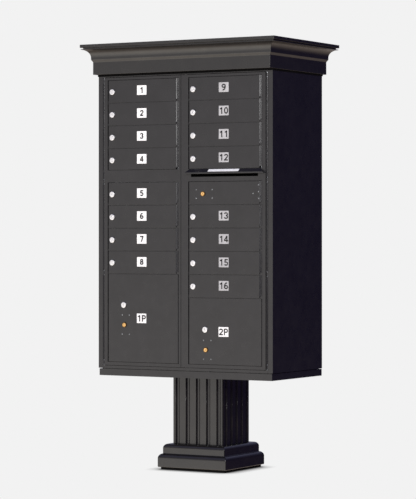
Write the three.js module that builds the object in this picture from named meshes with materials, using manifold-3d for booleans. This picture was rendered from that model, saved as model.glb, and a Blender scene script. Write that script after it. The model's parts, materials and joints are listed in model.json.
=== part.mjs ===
// Cluster mailbox unit: sixteen tenant compartments, two parcel lockers and an outgoing mail slot,
// in a cabinet with a moulded crown, on a fluted pedestal. Millimetres, +Z up, front towards -Y.
// The origin is on the ground under the middle of the crown.
import * as THREE from "three";
import { mergeVertices } from "three/addons/utils/BufferGeometryUtils.js";
import Module from "manifold-3d";

const wasm = await Module();
wasm.setup();

// ---- driving dimensions ----

const SHEET = 3; // wall thickness of the folded sheet
const GAP = 0.3; // clearance between pieces that rest on each other

// pedestal
const PEDESTAL_Y = 12; // the pedestal stands a little behind the middle of the crown
const PAD_HALF = 143;
const PAD_HEIGHT = 9.5;
const PLINTH_HALF = 152.5;
const PLINTH_TOP = 43.5; // top of the vertical face of the lower tier
const TIER_HALF = 137.5;
const TIER_BOTTOM = 61.5;
const TIER_TOP = 83.5;
const BASE_TOP = 99.5;
const BASE_TOP_HALF = 121.5;
const COLUMN_HALF_X = 113;
const COLUMN_HALF_Y = 103;
const FLUTES = 5; // on each face of the column
const FLUTE_MARGIN = 21.5; // from a corner to the middle of the first flute
const FLUTE_WIDTH = 17;
const FLUTE_DEPTH = 6;
const PEDESTAL_HEIGHT = 362.5;

// cabinet, measured from the underside of its floor pan
const CABINET_Y = 3;
const CABINET_HALF = 387.35;
const CABINET_FRONT = -200;
const CABINET_BACK = 200;
const SKIRT_TOP = 26;
const SKIRT_HALF = 383.85;
const SKIRT_FRONT = -199;
const SKIRT_BACK = 204;
const DECK_BOTTOM = 28.5;
const SILL_TOP = 39;
const LINTEL_BOTTOM = 1161;
const ROOF_TOP = 1206.5;
const JAMB_EDGE = 367.5; // inner edge of the front flange of a side panel
const BACK_FLANGE = 20; // width of the flange at the back of a side panel
const SADDLE_HALF = 110; // of the saddle under the floor, across the pedestal post

// crown, measured from the underside of its frieze
const CROWN_BOTTOM = 1172;
const FRIEZE_HALF_X = 393.5;
const FRIEZE_HALF_Y = 228.5;
const FRIEZE_HEIGHT = 48.5;
const CROWN_HEIGHT = 116;
const SLAB_OVERHANG = 37.5;

// master doors and the openings in them
const DOOR_FRONT = -203;
const DOOR_BACK = -185;
const DOOR_BOTTOM = 40.5;
const DOOR_TOP = 1159.5;
const DOOR_OUTER_EDGE = 358.5;
const MEETING_EDGES = [-12, -10.5]; // where the left door ends and the right door starts
const HINGE_X = 363;
const HINGE_Y = -197;
const HINGE_ROD_RADIUS = 3;
const KNUCKLE_RADIUS = 4;
const KNUCKLE_SPANS = [[62, 390], [410, 745], [765, 1140]];
const COLUMN_X = 182.6; // middle of each column of compartments
const OPENING_HALF = 161;
const PITCH = 88.6; // height of a tenant compartment
const UPPER_TOP = 1149.8;
const RAIL_TOP = 799;
const LOWER_TOP = 751.6;
const OPENING_BOTTOM = 53.5;
const CROSSBAR_HEIGHT = 8.4;

// leaves, in front of the openings; x from the middle of the column
const LEAF_FRONT = -203.2;
const LEAF_BACK = -200.8;
const LEAF_LEFT = -157;
const LEAF_RIGHT = 149.5;
const LEAF_GAP = 1.3;
const BARREL_X = 156.6;
const BARREL_Y = -198.8;
const BARREL_RADIUS = 4;
const BARREL_FOOT = 8; // a barrel stops this far above the boundary, where its pin enters the crossbar
const PARCEL_RIGHT = 157.5;
const PARCEL_HINGE_X = 156;
const PARCEL_HINGE_Y = -199;
const LIP_BACK = -191.5; // the turned-in edges of an opening reach back to here

// locks; x from the middle of the column
const LOCK_X = -138.5;
const LOCK_DROP = 2; // below the middle of its leaf
const LOCK_HOLE_RADIUS = 7.7;
const CAM_FRONT = -190.5;
const PARCEL_LOCK_X = -85.5;
const PARCEL_LOCK_DROP = 121.4; // below the top of a parcel door
const CARRIER_LOCK_DROP = 198.6;
const OUTGOING_LOCK_X = -96;
const OUTGOING_LOCK_Z = 704;

// mail slot and its hood
const SLOT_LEFT = -149;
const SLOT_RIGHT = 143.5;
const SLOT_BOTTOM = 769;
const SLOT_TOP = 789;
const HOOD_TOP = 798.6;
const HOOD_BOTTOM = 780;
const HOOD_TOP_HALF = 156;
const HOOD_BOTTOM_HALF = 173.5;
const HOOD_REACH = 14;

// compartment boundaries, from the top down
const upperBounds = [0, 1, 2, 3].map((i) => UPPER_TOP - i * PITCH).concat(RAIL_TOP);
const lowerBounds = [0, 1, 2, 3, 4].map((i) => LOWER_TOP - i * PITCH);
const leftBounds = [upperBounds, lowerBounds.concat(OPENING_BOTTOM)];
const rightBounds = [upperBounds, lowerBounds.concat(LOWER_TOP - 5 * PITCH, OPENING_BOTTOM)];

// ---- materials ----

const finish = (color, roughness, metalness) =>
  new THREE.MeshStandardMaterial({ color, roughness, metalness });
const coated = finish(0x45443f, 0.5, 0.3);
const bareMetal = finish(0x9a9c9e, 0.45, 0.9);
const steel = finish(0x7f8387, 0.4, 0.9);
const nickel = finish(0xd9dadb, 0.25, 0.95);
const brass = finish(0xc89a52, 0.3, 0.95);
const neoprene = finish(0x111112, 0.85, 0);

// ---- solids ----

// A closed three.js geometry as a solid that can be joined and cut.
function solid(geometry) {
  const open = geometry.index ? geometry.toNonIndexed() : geometry;
  const bare = new THREE.BufferGeometry();
  bare.setAttribute("position", open.getAttribute("position"));
  const merged = mergeVertices(bare, 1e-4);
  return new wasm.Manifold(
    new wasm.Mesh({
      numProp: 3,
      vertProperties: merged.attributes.position.array,
      triVerts: new Uint32Array(merged.index.array),
    }),
  );
}

function geometryOf(body) {
  const mesh = body.getMesh();
  const geometry = new THREE.BufferGeometry();
  geometry.setAttribute("position", new THREE.BufferAttribute(mesh.vertProperties, 3));
  geometry.setIndex(new THREE.BufferAttribute(mesh.triVerts, 1));
  geometry.computeVertexNormals();
  return geometry;
}

// A box between two values on each axis.
function box([x0, x1], [y0, y1], [z0, z1]) {
  const block = new THREE.BoxGeometry(x1 - x0, y1 - y0, z1 - z0);
  return solid(block.translate((x0 + x1) / 2, (y0 + y1) / 2, (z0 + z1) / 2));
}

// An outline drawn in plan (x, y) and raised from z0 to z1.
function prism(shape, [z0, z1], curveSegments = 6) {
  const settings = { depth: z1 - z0, bevelEnabled: false, curveSegments };
  const raised = new THREE.ExtrudeGeometry(shape, settings);
  return solid(raised.translate(0, 0, z0));
}

function polygon(points) {
  return new THREE.Shape(points.map(([x, y]) => new THREE.Vector2(x, y)));
}

function rod(x, y, radius, span, sides = 12) {
  const height = span[1] - span[0];
  const pin = new THREE.CylinderGeometry(radius, radius, height, sides);
  return solid(pin.rotateX(Math.PI / 2).translate(x, y, span[0] + height / 2));
}

// A profile of (offset, height) swept round a rectangle, with mitred corners. The profile is turned
// into a square ring about the origin, and its four corners are then moved out to the rectangle.
function mitredRing(profile, halfX, halfY) {
  const corner = Math.SQRT2;
  const points = profile.map(([offset, z]) => new THREE.Vector2(offset * corner, z));
  const ring = new THREE.LatheGeometry(points, 4, Math.PI / 4);
  ring.rotateX(Math.PI / 2);
  const position = ring.getAttribute("position");
  for (let i = 0; i < position.count; i += 1) {
    const x = position.getX(i);
    const y = position.getY(i);
    if (Math.abs(x) > 1e-3) position.setX(i, x + Math.sign(x) * halfX);
    if (Math.abs(y) > 1e-3) position.setY(i, y + Math.sign(y) * halfY);
  }
  return solid(ring);
}

// Points along a quarter of an ellipse, from angle a0 to a1 in degrees about (cx, cz).
function arc(cx, cz, rx, rz, a0, a1, steps) {
  return Array.from({ length: steps + 1 }, (_, i) => {
    const angle = THREE.MathUtils.degToRad(a0 + ((a1 - a0) * i) / steps);
    return [cx + rx * Math.cos(angle), cz + rz * Math.sin(angle)];
  });
}

const join = (bodies) => bodies.reduce((sum, body) => sum.add(body));

function place(parent, name, body, material, [x, y, z] = [0, 0, 0]) {
  const mesh = new THREE.Mesh(geometryOf(body), material);
  mesh.name = name;
  mesh.position.set(x, y, z);
  parent.add(mesh);
}

function groupAt(parent, y, z) {
  const group = new THREE.Group();
  group.position.set(0, y, z);
  parent.add(group);
  return group;
}

// ---- pedestal ----

const ANCHOR_HALF = 85; // the four anchor bolts stand at the corners of a square of twice this
const anchorHoles = (span) =>
  join([-1, 1].flatMap((i) => [-1, 1].map((j) => rod(i * ANCHOR_HALF, j * ANCHOR_HALF, 9, span))));

function isolationPad() {
  const sheet = box([-PAD_HALF, PAD_HALF], [-PAD_HALF, PAD_HALF], [0, PAD_HEIGHT]);
  return sheet.subtract(anchorHoles([-1, PAD_HEIGHT + 1]));
}

// The post carries the cabinet: a square tube between a base plate and a head plate.
function pedestalPost() {
  const plateHalf = 108;
  const tubeHalf = 76;
  const tubeWall = 6;
  const foot = PAD_HEIGHT + GAP;
  const head = PEDESTAL_HEIGHT - GAP;
  const plateThickness = 9.5;
  const square = (half) => [-half, half];
  const tube = box(square(tubeHalf), square(tubeHalf), [foot, head]);
  const basePlate = box(square(plateHalf), square(plateHalf), [foot, foot + plateThickness]);
  const headPlate = box([-100, 100], [-90, 90], [head - plateThickness, head]);
  const bore = box(square(tubeHalf - tubeWall), square(tubeHalf - tubeWall), [foot - 1, head + 1]);
  return join([tube, basePlate, headPlate]).subtract(bore).subtract(anchorHoles([foot - 1, foot + 11]));
}

// Two tiers, each a vertical face under a rounded shoulder, as one hollow moulding.
function baseMoulding() {
  const foot = PAD_HEIGHT + GAP;
  const wall = 5;
  const postClearance = 96;
  const footFlange = 110;
  const shoulder = (innerHalf, outerHalf, z0, z1) =>
    arc(innerHalf, z0, outerHalf - innerHalf, z1 - z0, 0, 90, 4);
  const profile = [
    [footFlange, foot],
    [PLINTH_HALF - 3, foot],
    [PLINTH_HALF, foot + 3],
    ...shoulder(TIER_HALF, PLINTH_HALF, PLINTH_TOP, TIER_BOTTOM),
    ...shoulder(BASE_TOP_HALF, TIER_HALF, TIER_TOP, BASE_TOP),
    [postClearance, BASE_TOP],
    [postClearance, BASE_TOP - wall],
    [BASE_TOP_HALF, BASE_TOP - wall],
    [TIER_HALF - wall, TIER_TOP],
    [TIER_HALF - wall, TIER_BOTTOM - wall],
    [PLINTH_HALF - wall, PLINTH_TOP],
    [PLINTH_HALF - wall, foot + wall],
    [footFlange, foot + wall],
    [footFlange, foot],
  ];
  return mitredRing(profile, 0, 0);
}

// One face of the fluted column, from its left corner to its right as seen from outside.
function flutedFace(halfWidth) {
  const spacing = (2 * (halfWidth - FLUTE_MARGIN)) / (FLUTES - 1);
  const points = [];
  for (let i = 0; i < FLUTES; i += 1) {
    const middle = -halfWidth + FLUTE_MARGIN + i * spacing;
    points.push([middle - FLUTE_WIDTH / 2, 0]);
    points.push([middle - FLUTE_WIDTH / 4, -FLUTE_DEPTH]);
    points.push([middle + FLUTE_WIDTH / 4, -FLUTE_DEPTH]);
    points.push([middle + FLUTE_WIDTH / 2, 0]);
  }
  return points;
}

function columnCover() {
  const corner = 6;
  const wall = 10;
  const faces = [
    { half: COLUMN_HALF_X, out: COLUMN_HALF_Y, turn: 0 },
    { half: COLUMN_HALF_Y, out: COLUMN_HALF_X, turn: 90 },
    { half: COLUMN_HALF_X, out: COLUMN_HALF_Y, turn: 180 },
    { half: COLUMN_HALF_Y, out: COLUMN_HALF_X, turn: 270 },
  ];
  const outline = faces.flatMap(({ half, out, turn }) => {
    const cornerPoints = arc(half - corner, out - corner, corner, corner, 90, 0, 3).reverse();
    const angle = THREE.MathUtils.degToRad(turn);
    const face = flutedFace(half).map(([along, depth]) => [along, -(out + depth)]);
    const points = face.concat(cornerPoints.map(([x, y]) => [x, -y]).reverse());
    return points.map(([x, y]) => [
      x * Math.cos(angle) - y * Math.sin(angle),
      x * Math.sin(angle) + y * Math.cos(angle),
    ]);
  });
  const span = [BASE_TOP + GAP, PEDESTAL_HEIGHT - GAP];
  const inner = (half) => [wall - half, half - wall];
  const bore = box(inner(COLUMN_HALF_X), inner(COLUMN_HALF_Y), [span[0] - 1, span[1] + 1]);
  return prism(polygon(outline), span).subtract(bore);
}

function buildPedestal(unit) {
  const pedestal = groupAt(unit, PEDESTAL_Y, 0);
  place(pedestal, "isolation_pad", isolationPad(), neoprene);
  place(pedestal, "pedestal_post", pedestalPost(), bareMetal);
  place(pedestal, "base_moulding", baseMoulding(), coated);
  place(pedestal, "column_cover", columnCover(), coated);
}

// ---- cabinet shell ----

// The deck of the cabinet over a set-back skirt, with a saddle that rests on the pedestal post.
function floorPan() {
  const rim = (inset, thickness, span) => {
    const inside = inset + thickness;
    const outer = box(
      [-SKIRT_HALF + inset, SKIRT_HALF - inset],
      [SKIRT_FRONT + inset, SKIRT_BACK - inset],
      span,
    );
    const inner = box(
      [-SKIRT_HALF + inside, SKIRT_HALF - inside],
      [SKIRT_FRONT + inside, SKIRT_BACK - inside],
      [span[0] - 1, span[1] + 1],
    );
    return outer.subtract(inner);
  };
  const skirt = rim(0, 4 * SHEET, [0, SKIRT_TOP]);
  const neck = rim(3 * SHEET, SHEET, [SKIRT_TOP - 1, DECK_BOTTOM + 1]);
  const deckX = CABINET_HALF - SHEET - GAP;
  const deck = box(
    [-deckX, deckX],
    [CABINET_FRONT + SHEET, CABINET_BACK - SHEET - GAP],
    [DECK_BOTTOM, DECK_BOTTOM + SHEET],
  );
  const sillX = JAMB_EDGE - GAP;
  const sill = box([-sillX, sillX], [CABINET_FRONT, CABINET_FRONT + SHEET], [DECK_BOTTOM, SILL_TOP]);
  const saddleDepth = [SKIRT_FRONT + 1, SKIRT_BACK - 1];
  const saddle = [
    box([-SADDLE_HALF, SADDLE_HALF], saddleDepth, [0, SHEET]),
    ...[-SADDLE_HALF, SADDLE_HALF - SHEET].map((x) =>
      box([x, x + SHEET], saddleDepth, [0, DECK_BOTTOM + 1]),
    ),
  ];
  const accessHole = rod(0, PEDESTAL_Y - CABINET_Y, 40, [-1, SHEET + 1]);
  return join([skirt, neck, deck, sill, ...saddle]).subtract(accessHole);
}

// A span of x given for the right-hand side (side = 1), or the same span on the left (side = -1).
const onSide = (side, [x0, x1]) => (side > 0 ? [x0, x1] : [-x1, -x0]);

// A channel folded from one sheet, open towards the middle, with lugs that hold the hinge rod.
function sidePanel(side) {
  const backEdge = CABINET_HALF - BACK_FLANGE;
  const inside = CABINET_HALF - SHEET;
  const channel = [
    [CABINET_HALF, CABINET_FRONT],
    [CABINET_HALF, CABINET_BACK],
    [backEdge, CABINET_BACK],
    [backEdge, CABINET_BACK - SHEET],
    [inside, CABINET_BACK - SHEET],
    [inside, CABINET_FRONT + SHEET],
    [JAMB_EDGE, CABINET_FRONT + SHEET],
    [JAMB_EDGE, CABINET_FRONT],
  ];
  const outline = polygon(channel.map(([x, y]) => [side * x, y]));
  const panel = prism(outline, [DECK_BOTTOM, ROOF_TOP - SHEET - GAP]);
  const lugCentres = [51, 400, 755, 1149];
  const lugs = lugCentres.map((z) => {
    const span = [z - 7, z + 7];
    const ear = rod(side * HINGE_X, HINGE_Y, KNUCKLE_RADIUS, span);
    const reach = onSide(side, [HINGE_X, JAMB_EDGE + 1]);
    return ear.add(box(reach, [CABINET_FRONT, CABINET_FRONT + 2 * SHEET], span));
  });
  const bore = rod(side * HINGE_X, HINGE_Y, HINGE_ROD_RADIUS + 0.4, [0, ROOF_TOP]);
  return join([panel, ...lugs]).subtract(bore);
}

function backPanel() {
  const half = CABINET_HALF - BACK_FLANGE - GAP;
  const span = [DECK_BOTTOM + SHEET + GAP, ROOF_TOP - SHEET - GAP];
  const sheet = box([-half, half], [CABINET_BACK - SHEET, CABINET_BACK], span);
  const turnedEdges = [-half, half - SHEET].map((x) =>
    box([x, x + SHEET], [CABINET_BACK - 13, CABINET_BACK - 1], span),
  );
  return join([sheet, ...turnedEdges]);
}

// The roof, with the lintel over the master doors folded down from its front edge.
function roofPanel() {
  const sheet = box(
    [-CABINET_HALF, CABINET_HALF],
    [CABINET_FRONT, CABINET_BACK],
    [ROOF_TOP - SHEET, ROOF_TOP],
  );
  const lintel = box(
    [-JAMB_EDGE + GAP, JAMB_EDGE - GAP],
    [CABINET_FRONT, CABINET_FRONT + SHEET],
    [LINTEL_BOTTOM, ROOF_TOP - 1],
  );
  return sheet.add(lintel);
}

const RACK_FRONT = -178;

// The wall between the two racks, folded at its front edge.
function centreDivider() {
  const span = [DECK_BOTTOM + SHEET + GAP, ROOF_TOP - SHEET - GAP];
  const wall = box([-SHEET / 2, SHEET / 2], [RACK_FRONT, CABINET_BACK - SHEET - GAP], span);
  return wall.add(box([-10, 10], [RACK_FRONT, RACK_FRONT + SHEET], span));
}

// Two side walls and a shelf under each compartment. x is from the middle of the column.
function shelfRack(shelfHeights) {
  const inner = OPENING_HALF + 1.5;
  const depth = [RACK_FRONT, CABINET_BACK - SHEET - GAP];
  const top = UPPER_TOP + 6;
  const wallSpan = [DECK_BOTTOM + SHEET + GAP, top];
  const walls = [[-inner - SHEET, -inner], [inner, inner + SHEET]].map((x) => box(x, depth, wallSpan));
  const heights = [top - SHEET / 2, ...shelfHeights, OPENING_BOTTOM - 5];
  const shelf = (z) => box([-inner - 1, inner + 1], depth, [z - SHEET / 2, z + SHEET / 2]);
  return join([...walls, ...heights.map(shelf)]);
}

const hingeRod = () => rod(0, 0, HINGE_ROD_RADIUS, [SILL_TOP + GAP, LINTEL_BOTTOM - GAP]);

// A hollow sheet cap: plain frieze, canted fillet, cove, quirk and overhanging slab,
// closed by the deck of the slab, with two ribs inside that stand on the cabinet roof.
function crownCap() {
  const fillet = 6;
  const coveBottom = 65.5;
  const coveTop = 96.5;
  const coveReach = 35;
  const quirk = 28;
  const slabBottom = CROWN_HEIGHT - 12;
  const outside = [
    [0, 0],
    [0, FRIEZE_HEIGHT],
    [fillet, FRIEZE_HEIGHT + 9.5],
    ...arc(coveReach, coveBottom, fillet - coveReach, coveTop - coveBottom, 0, 90, 6),
    [coveReach, coveTop + 2],
    [quirk, coveTop + 2],
    [quirk, slabBottom],
    [SLAB_OVERHANG, slabBottom],
    [SLAB_OVERHANG, CROWN_HEIGHT],
  ];
  const inside = [
    [-SHEET, FRIEZE_HEIGHT + 1],
    [fillet - SHEET, FRIEZE_HEIGHT + 10.5],
    ...arc(coveReach, coveBottom, fillet - coveReach - SHEET, coveTop - coveBottom + SHEET, 0, 66, 4),
    [quirk - SHEET, CROWN_HEIGHT - SHEET],
  ].reverse();
  const deckEdge = -60;
  const profile = [
    ...outside,
    [deckEdge, CROWN_HEIGHT],
    [deckEdge, CROWN_HEIGHT - SHEET],
    ...inside,
    [-SHEET, 0],
    [0, 0],
  ];
  // the ring is turned about its own middle, so offsets are measured from a square of this half width
  const core = 100;
  const shifted = profile.map(([offset, z]) => [offset + core, z]);
  const shell = mitredRing(shifted, FRIEZE_HALF_X - core, FRIEZE_HALF_Y - core);
  const insideX = FRIEZE_HALF_X - SHEET / 2;
  const insideY = FRIEZE_HALF_Y - SHEET / 2;
  const deck = box([-insideX, insideX], [-insideY, insideY], [CROWN_HEIGHT - SHEET, CROWN_HEIGHT]);
  const soffitFront = CABINET_FRONT + CABINET_Y - GAP;
  const soffitBack = CABINET_BACK + CABINET_Y + GAP;
  const soffits = [[-insideY, soffitFront], [soffitBack, insideY]].map((y) =>
    box([-insideX, insideX], y, [0, SHEET]),
  );
  const ribs = [-220, 220].map((x) =>
    box([x, x + SHEET], [-insideY, insideY], [ROOF_TOP - CROWN_BOTTOM + GAP, CROWN_HEIGHT - 1]),
  );
  return join([shell, deck, ...soffits, ...ribs]);
}

function buildShell(cabinet, unit) {
  place(cabinet, "floor_pan", floorPan(), coated);
  place(cabinet, "side_panel_left", sidePanel(-1), coated);
  place(cabinet, "side_panel_right", sidePanel(1), coated);
  place(cabinet, "back_panel", backPanel(), coated);
  place(cabinet, "roof_panel", roofPanel(), coated);
  place(cabinet, "centre_divider", centreDivider(), bareMetal);
  const leftShelves = [...upperBounds.slice(1), ...lowerBounds];
  const rightShelves = [...upperBounds.slice(1), ...lowerBounds.slice(1), LOWER_TOP - 5 * PITCH];
  place(cabinet, "shelf_rack_left", shelfRack(leftShelves), bareMetal, [-COLUMN_X, 0, 0]);
  place(cabinet, "shelf_rack_right", shelfRack(rightShelves), bareMetal, [COLUMN_X, 0, 0]);
  place(cabinet, "hinge_rod_left", hingeRod(), steel, [-HINGE_X, HINGE_Y, 0]);
  place(cabinet, "hinge_rod_right", hingeRod(), steel, [HINGE_X, HINGE_Y, 0]);
  place(unit, "crown_cap", crownCap(), coated, [0, 0, PEDESTAL_HEIGHT + CROWN_BOTTOM]);
}

// ---- master doors ----

// The knuckles that turn on the hinge rod at the outer edge of a door.
function hingeKnuckles(side) {
  const reach = onSide(side, [DOOR_OUTER_EDGE - 1, HINGE_X - 2]);
  const knuckles = KNUCKLE_SPANS.map((span) => {
    const web = box(reach, [HINGE_Y - 2.5, HINGE_Y + 2.5], span);
    return rod(side * HINGE_X, HINGE_Y, KNUCKLE_RADIUS, span).add(web);
  });
  const bore = rod(side * HINGE_X, HINGE_Y, HINGE_ROD_RADIUS + 0.4, [0, ROOF_TOP]);
  return join(knuckles).subtract(bore);
}

// A shallow tray with an opening for each run of leaves, turned-in lips beside the openings
// and a crossbar behind each gap between leaves.
function masterDoor({ side, outerEdge, meetingEdge, bounds, latchX }) {
  const x0 = Math.min(outerEdge, meetingEdge);
  const x1 = Math.max(outerEdge, meetingEdge);
  const tray = box([x0, x1], [DOOR_FRONT, DOOR_BACK], [DOOR_BOTTOM, DOOR_TOP]);
  const hollow = box(
    [x0 + SHEET, x1 - SHEET],
    [DOOR_FRONT + SHEET, DOOR_BACK + 1],
    [DOOR_BOTTOM + SHEET, DOOR_TOP - SHEET],
  );
  const middle = side * COLUMN_X;
  const openings = bounds.map((run) =>
    box(
      [middle - OPENING_HALF, middle + OPENING_HALF],
      [DOOR_FRONT - 1, DOOR_BACK],
      [run[run.length - 1], run[0]],
    ),
  );
  const lips = bounds.flatMap((run) =>
    [-OPENING_HALF - SHEET, OPENING_HALF].map((x) =>
      box(
        [middle + x, middle + x + SHEET],
        [DOOR_FRONT + 1, LIP_BACK],
        [run[run.length - 1] - SHEET, run[0] + SHEET],
      ),
    ),
  );
  const crossbars = bounds.flatMap((run) =>
    run.slice(1, -1).map((z) =>
      box(
        [middle - OPENING_HALF - SHEET, middle + OPENING_HALF + SHEET],
        [LEAF_BACK + 0.4, LEAF_BACK + 4.4],
        [z - 1, z - 1 + CROSSBAR_HEIGHT],
      ),
    ),
  );
  const latchSlot = box(
    [latchX - 5.2, latchX + 5.2],
    [CAM_FRONT - 0.8, CAM_FRONT + 4.5],
    [DOOR_TOP - 4, DOOR_TOP + 1],
  );
  const frame = tray.subtract(join([hollow, ...openings])).subtract(latchSlot);
  return join([frame, ...lips, ...crossbars, hingeKnuckles(side)]);
}

// The outgoing mail slot, cut through the rail of the right-hand door.
function mailSlot() {
  return box(
    [COLUMN_X + SLOT_LEFT, COLUMN_X + SLOT_RIGHT],
    [DOOR_FRONT - 1, DOOR_BACK],
    [SLOT_BOTTOM, SLOT_TOP],
  );
}

// A hood of folded sheet over the slot: a sloping front with a short lip, and splayed ends.
function mailSlotHood() {
  const front = (inset) => {
    const back = DOOR_FRONT - GAP;
    const reach = back - HOOD_REACH + inset;
    const profile = polygon([
      [back + inset, HOOD_TOP - inset],
      [reach, HOOD_BOTTOM + 6 - inset / 2],
      [reach, HOOD_BOTTOM - inset],
      [back + inset, HOOD_BOTTOM - inset],
    ]);
    // drawn in (y, z) and swept along x
    const width = 2 * HOOD_BOTTOM_HALF;
    const swept = new THREE.ExtrudeGeometry(profile, { depth: width, bevelEnabled: false });
    swept.rotateY(Math.PI / 2).rotateX(Math.PI / 2);
    return solid(swept.translate(-HOOD_BOTTOM_HALF, 0, 0));
  };
  const splay = (inset) => {
    const profile = polygon([
      [-HOOD_TOP_HALF + inset, HOOD_TOP],
      [-HOOD_BOTTOM_HALF + inset, HOOD_BOTTOM + 1],
      [-HOOD_BOTTOM_HALF + inset, HOOD_BOTTOM - 5],
      [HOOD_BOTTOM_HALF - inset, HOOD_BOTTOM - 5],
      [HOOD_BOTTOM_HALF - inset, HOOD_BOTTOM + 1],
      [HOOD_TOP_HALF - inset, HOOD_TOP],
    ]);
    // drawn in (x, z) and swept along y
    const swept = new THREE.ExtrudeGeometry(profile, { depth: 40, bevelEnabled: false });
    swept.rotateX(Math.PI / 2);
    return solid(swept.translate(0, DOOR_FRONT + 10, 0));
  };
  const sheet = 2.2;
  return front(0).intersect(splay(0)).subtract(front(sheet).intersect(splay(sheet)));
}

// A bar behind the meeting edge that slides up behind the lintel to hold its door shut.
function latchBar() {
  const bar = box([-4, 4], [CAM_FRONT, CAM_FRONT + 3.5], [66, DOOR_TOP - 5]);
  const tab = box([-4, 4], [CAM_FRONT + 1, CAM_FRONT + 9], [700, 704]);
  return bar.add(tab);
}

const latchXs = { left: -19.6, right: 0 };

function buildMasterDoors(cabinet) {
  const left = masterDoor({
    side: -1,
    outerEdge: -DOOR_OUTER_EDGE,
    meetingEdge: MEETING_EDGES[0],
    bounds: leftBounds,
    latchX: latchXs.left,
  });
  const right = masterDoor({
    side: 1,
    outerEdge: DOOR_OUTER_EDGE,
    meetingEdge: MEETING_EDGES[1],
    bounds: rightBounds,
    latchX: latchXs.right,
  });
  place(cabinet, "master_door_left", left, coated);
  place(cabinet, "master_door_right", right.subtract(mailSlot()), coated);
  place(cabinet, "mail_slot_hood", mailSlotHood(), coated, [COLUMN_X, 0, 0]);
  place(cabinet, "master_latch_left", latchBar(), steel, [latchXs.left, 0, 0]);
  place(cabinet, "master_latch_right", latchBar(), steel, [latchXs.right, 0, 0]);
}

// ---- leaves and locks ----

const lockHole = (x, z, radius) => {
  const hole = new THREE.CylinderGeometry(radius, radius, 20, 12);
  return solid(hole.translate(x, LEAF_FRONT, z));
};

// A leaf with a rolled hinge barrel on its right-hand edge and a stiffening fold top and bottom.
// z is from the bottom of the compartment.
function barrelLeaf(bottom, height, lockX, lockZ, holeRadius) {
  const start = -2.75;
  const outline = new THREE.Shape();
  outline.moveTo(LEAF_LEFT, LEAF_FRONT);
  outline.lineTo(LEAF_RIGHT, LEAF_FRONT);
  outline.lineTo(LEAF_RIGHT + 1.2, LEAF_BACK - 0.2);
  outline.absarc(BARREL_X, BARREL_Y, BARREL_RADIUS, start, start - 0.9 + 2 * Math.PI, false);
  outline.lineTo(LEAF_RIGHT - 3, LEAF_BACK);
  outline.lineTo(LEAF_LEFT, LEAF_BACK);
  const top = height - LEAF_GAP;
  const barrelled = prism(outline, [bottom + BARREL_FOOT, top], 5);
  const plate = box([LEAF_LEFT, LEAF_RIGHT], [LEAF_FRONT, LEAF_BACK], [bottom + LEAF_GAP, top]);
  const folds = [bottom + 10, top - 4].map((z) =>
    box([LEAF_LEFT + 2, LEAF_RIGHT - 6], [LEAF_BACK - 1, LEAF_BACK + 7], [z, z + 2]),
  );
  return join([barrelled, plate, ...folds]).subtract(lockHole(lockX, lockZ, holeRadius));
}

// A parcel door: a larger leaf on a concealed hinge.
function parcelLeaf(height) {
  const span = [LEAF_GAP, height - LEAF_GAP];
  const plate = box([LEAF_LEFT, PARCEL_RIGHT], [LEAF_FRONT, LEAF_BACK], span);
  const hinge = rod(PARCEL_HINGE_X, PARCEL_HINGE_Y, 2.6, [12, height - 12], 10);
  const folds = [12, height - 14].map((z) =>
    box([LEAF_LEFT + 2, PARCEL_RIGHT - 10], [LEAF_BACK - 1, LEAF_BACK + 7], [z, z + 2]),
  );
  const customerHole = lockHole(PARCEL_LOCK_X, height - PARCEL_LOCK_DROP, LOCK_HOLE_RADIUS);
  const carrierHole = lockHole(PARCEL_LOCK_X + 2, height - CARRIER_LOCK_DROP, LOCK_HOLE_RADIUS);
  return join([plate, hinge, ...folds]).subtract(customerHole).subtract(carrierHole);
}

// A lock plug on its own axis along Y: a round head, a shank through the leaf and a cam behind it,
// which points along +Z (up = 1) or -Z (up = -1).
function lockPlug({ headRadius, headDepth, camLength, up }) {
  const shank = 7;
  const front = LEAF_FRONT - GAP - headDepth;
  const profile = [
    [0, front],
    [headRadius, front],
    [headRadius, LEAF_FRONT - GAP],
    [shank, LEAF_FRONT - GAP],
    [shank, CAM_FRONT + 1],
    [0, CAM_FRONT + 1],
  ].map(([radius, y]) => new THREE.Vector2(radius, y));
  const turned = solid(new THREE.LatheGeometry(profile, 10));
  const camEnd = up > 0 ? [-6, camLength] : [-camLength, 6];
  return turned.add(box([-6, 6], [CAM_FRONT, CAM_FRONT + 3], camEnd));
}

const tenantLock = () => lockPlug({ headRadius: 11, headDepth: 4.7, camLength: 30, up: -1 });
const parcelLock = () => lockPlug({ headRadius: 11, headDepth: 4.7, camLength: 79, up: 1 });
const carrierLock = () => lockPlug({ headRadius: 9.5, headDepth: 3.5, camLength: 22, up: -1 });

function buildTenantDoors(cabinet) {
  const stacks = [
    { x: -COLUMN_X, runs: [upperBounds, lowerBounds] },
    { x: COLUMN_X, runs: [upperBounds, [...lowerBounds.slice(1), LOWER_TOP - 5 * PITCH]] },
  ];
  const leaves = stacks.flatMap(({ x, runs }) =>
    runs.flatMap((run) =>
      run.slice(0, -1).map((top, i) => ({ x, top, bottom: Math.max(run[i + 1], top - PITCH) })),
    ),
  );
  leaves.forEach(({ x, top, bottom }, i) => {
    const number = String(i + 1).padStart(2, "0");
    const lockZ = PITCH / 2 - LOCK_DROP;
    const leaf = barrelLeaf(bottom - top + PITCH, PITCH, LOCK_X, lockZ, LOCK_HOLE_RADIUS);
    place(cabinet, `tenant_door_${number}`, leaf, coated, [x, 0, top - PITCH]);
    place(cabinet, `tenant_lock_${number}`, tenantLock(), nickel, [x + LOCK_X, 0, top - PITCH + lockZ]);
  });
}

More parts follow.
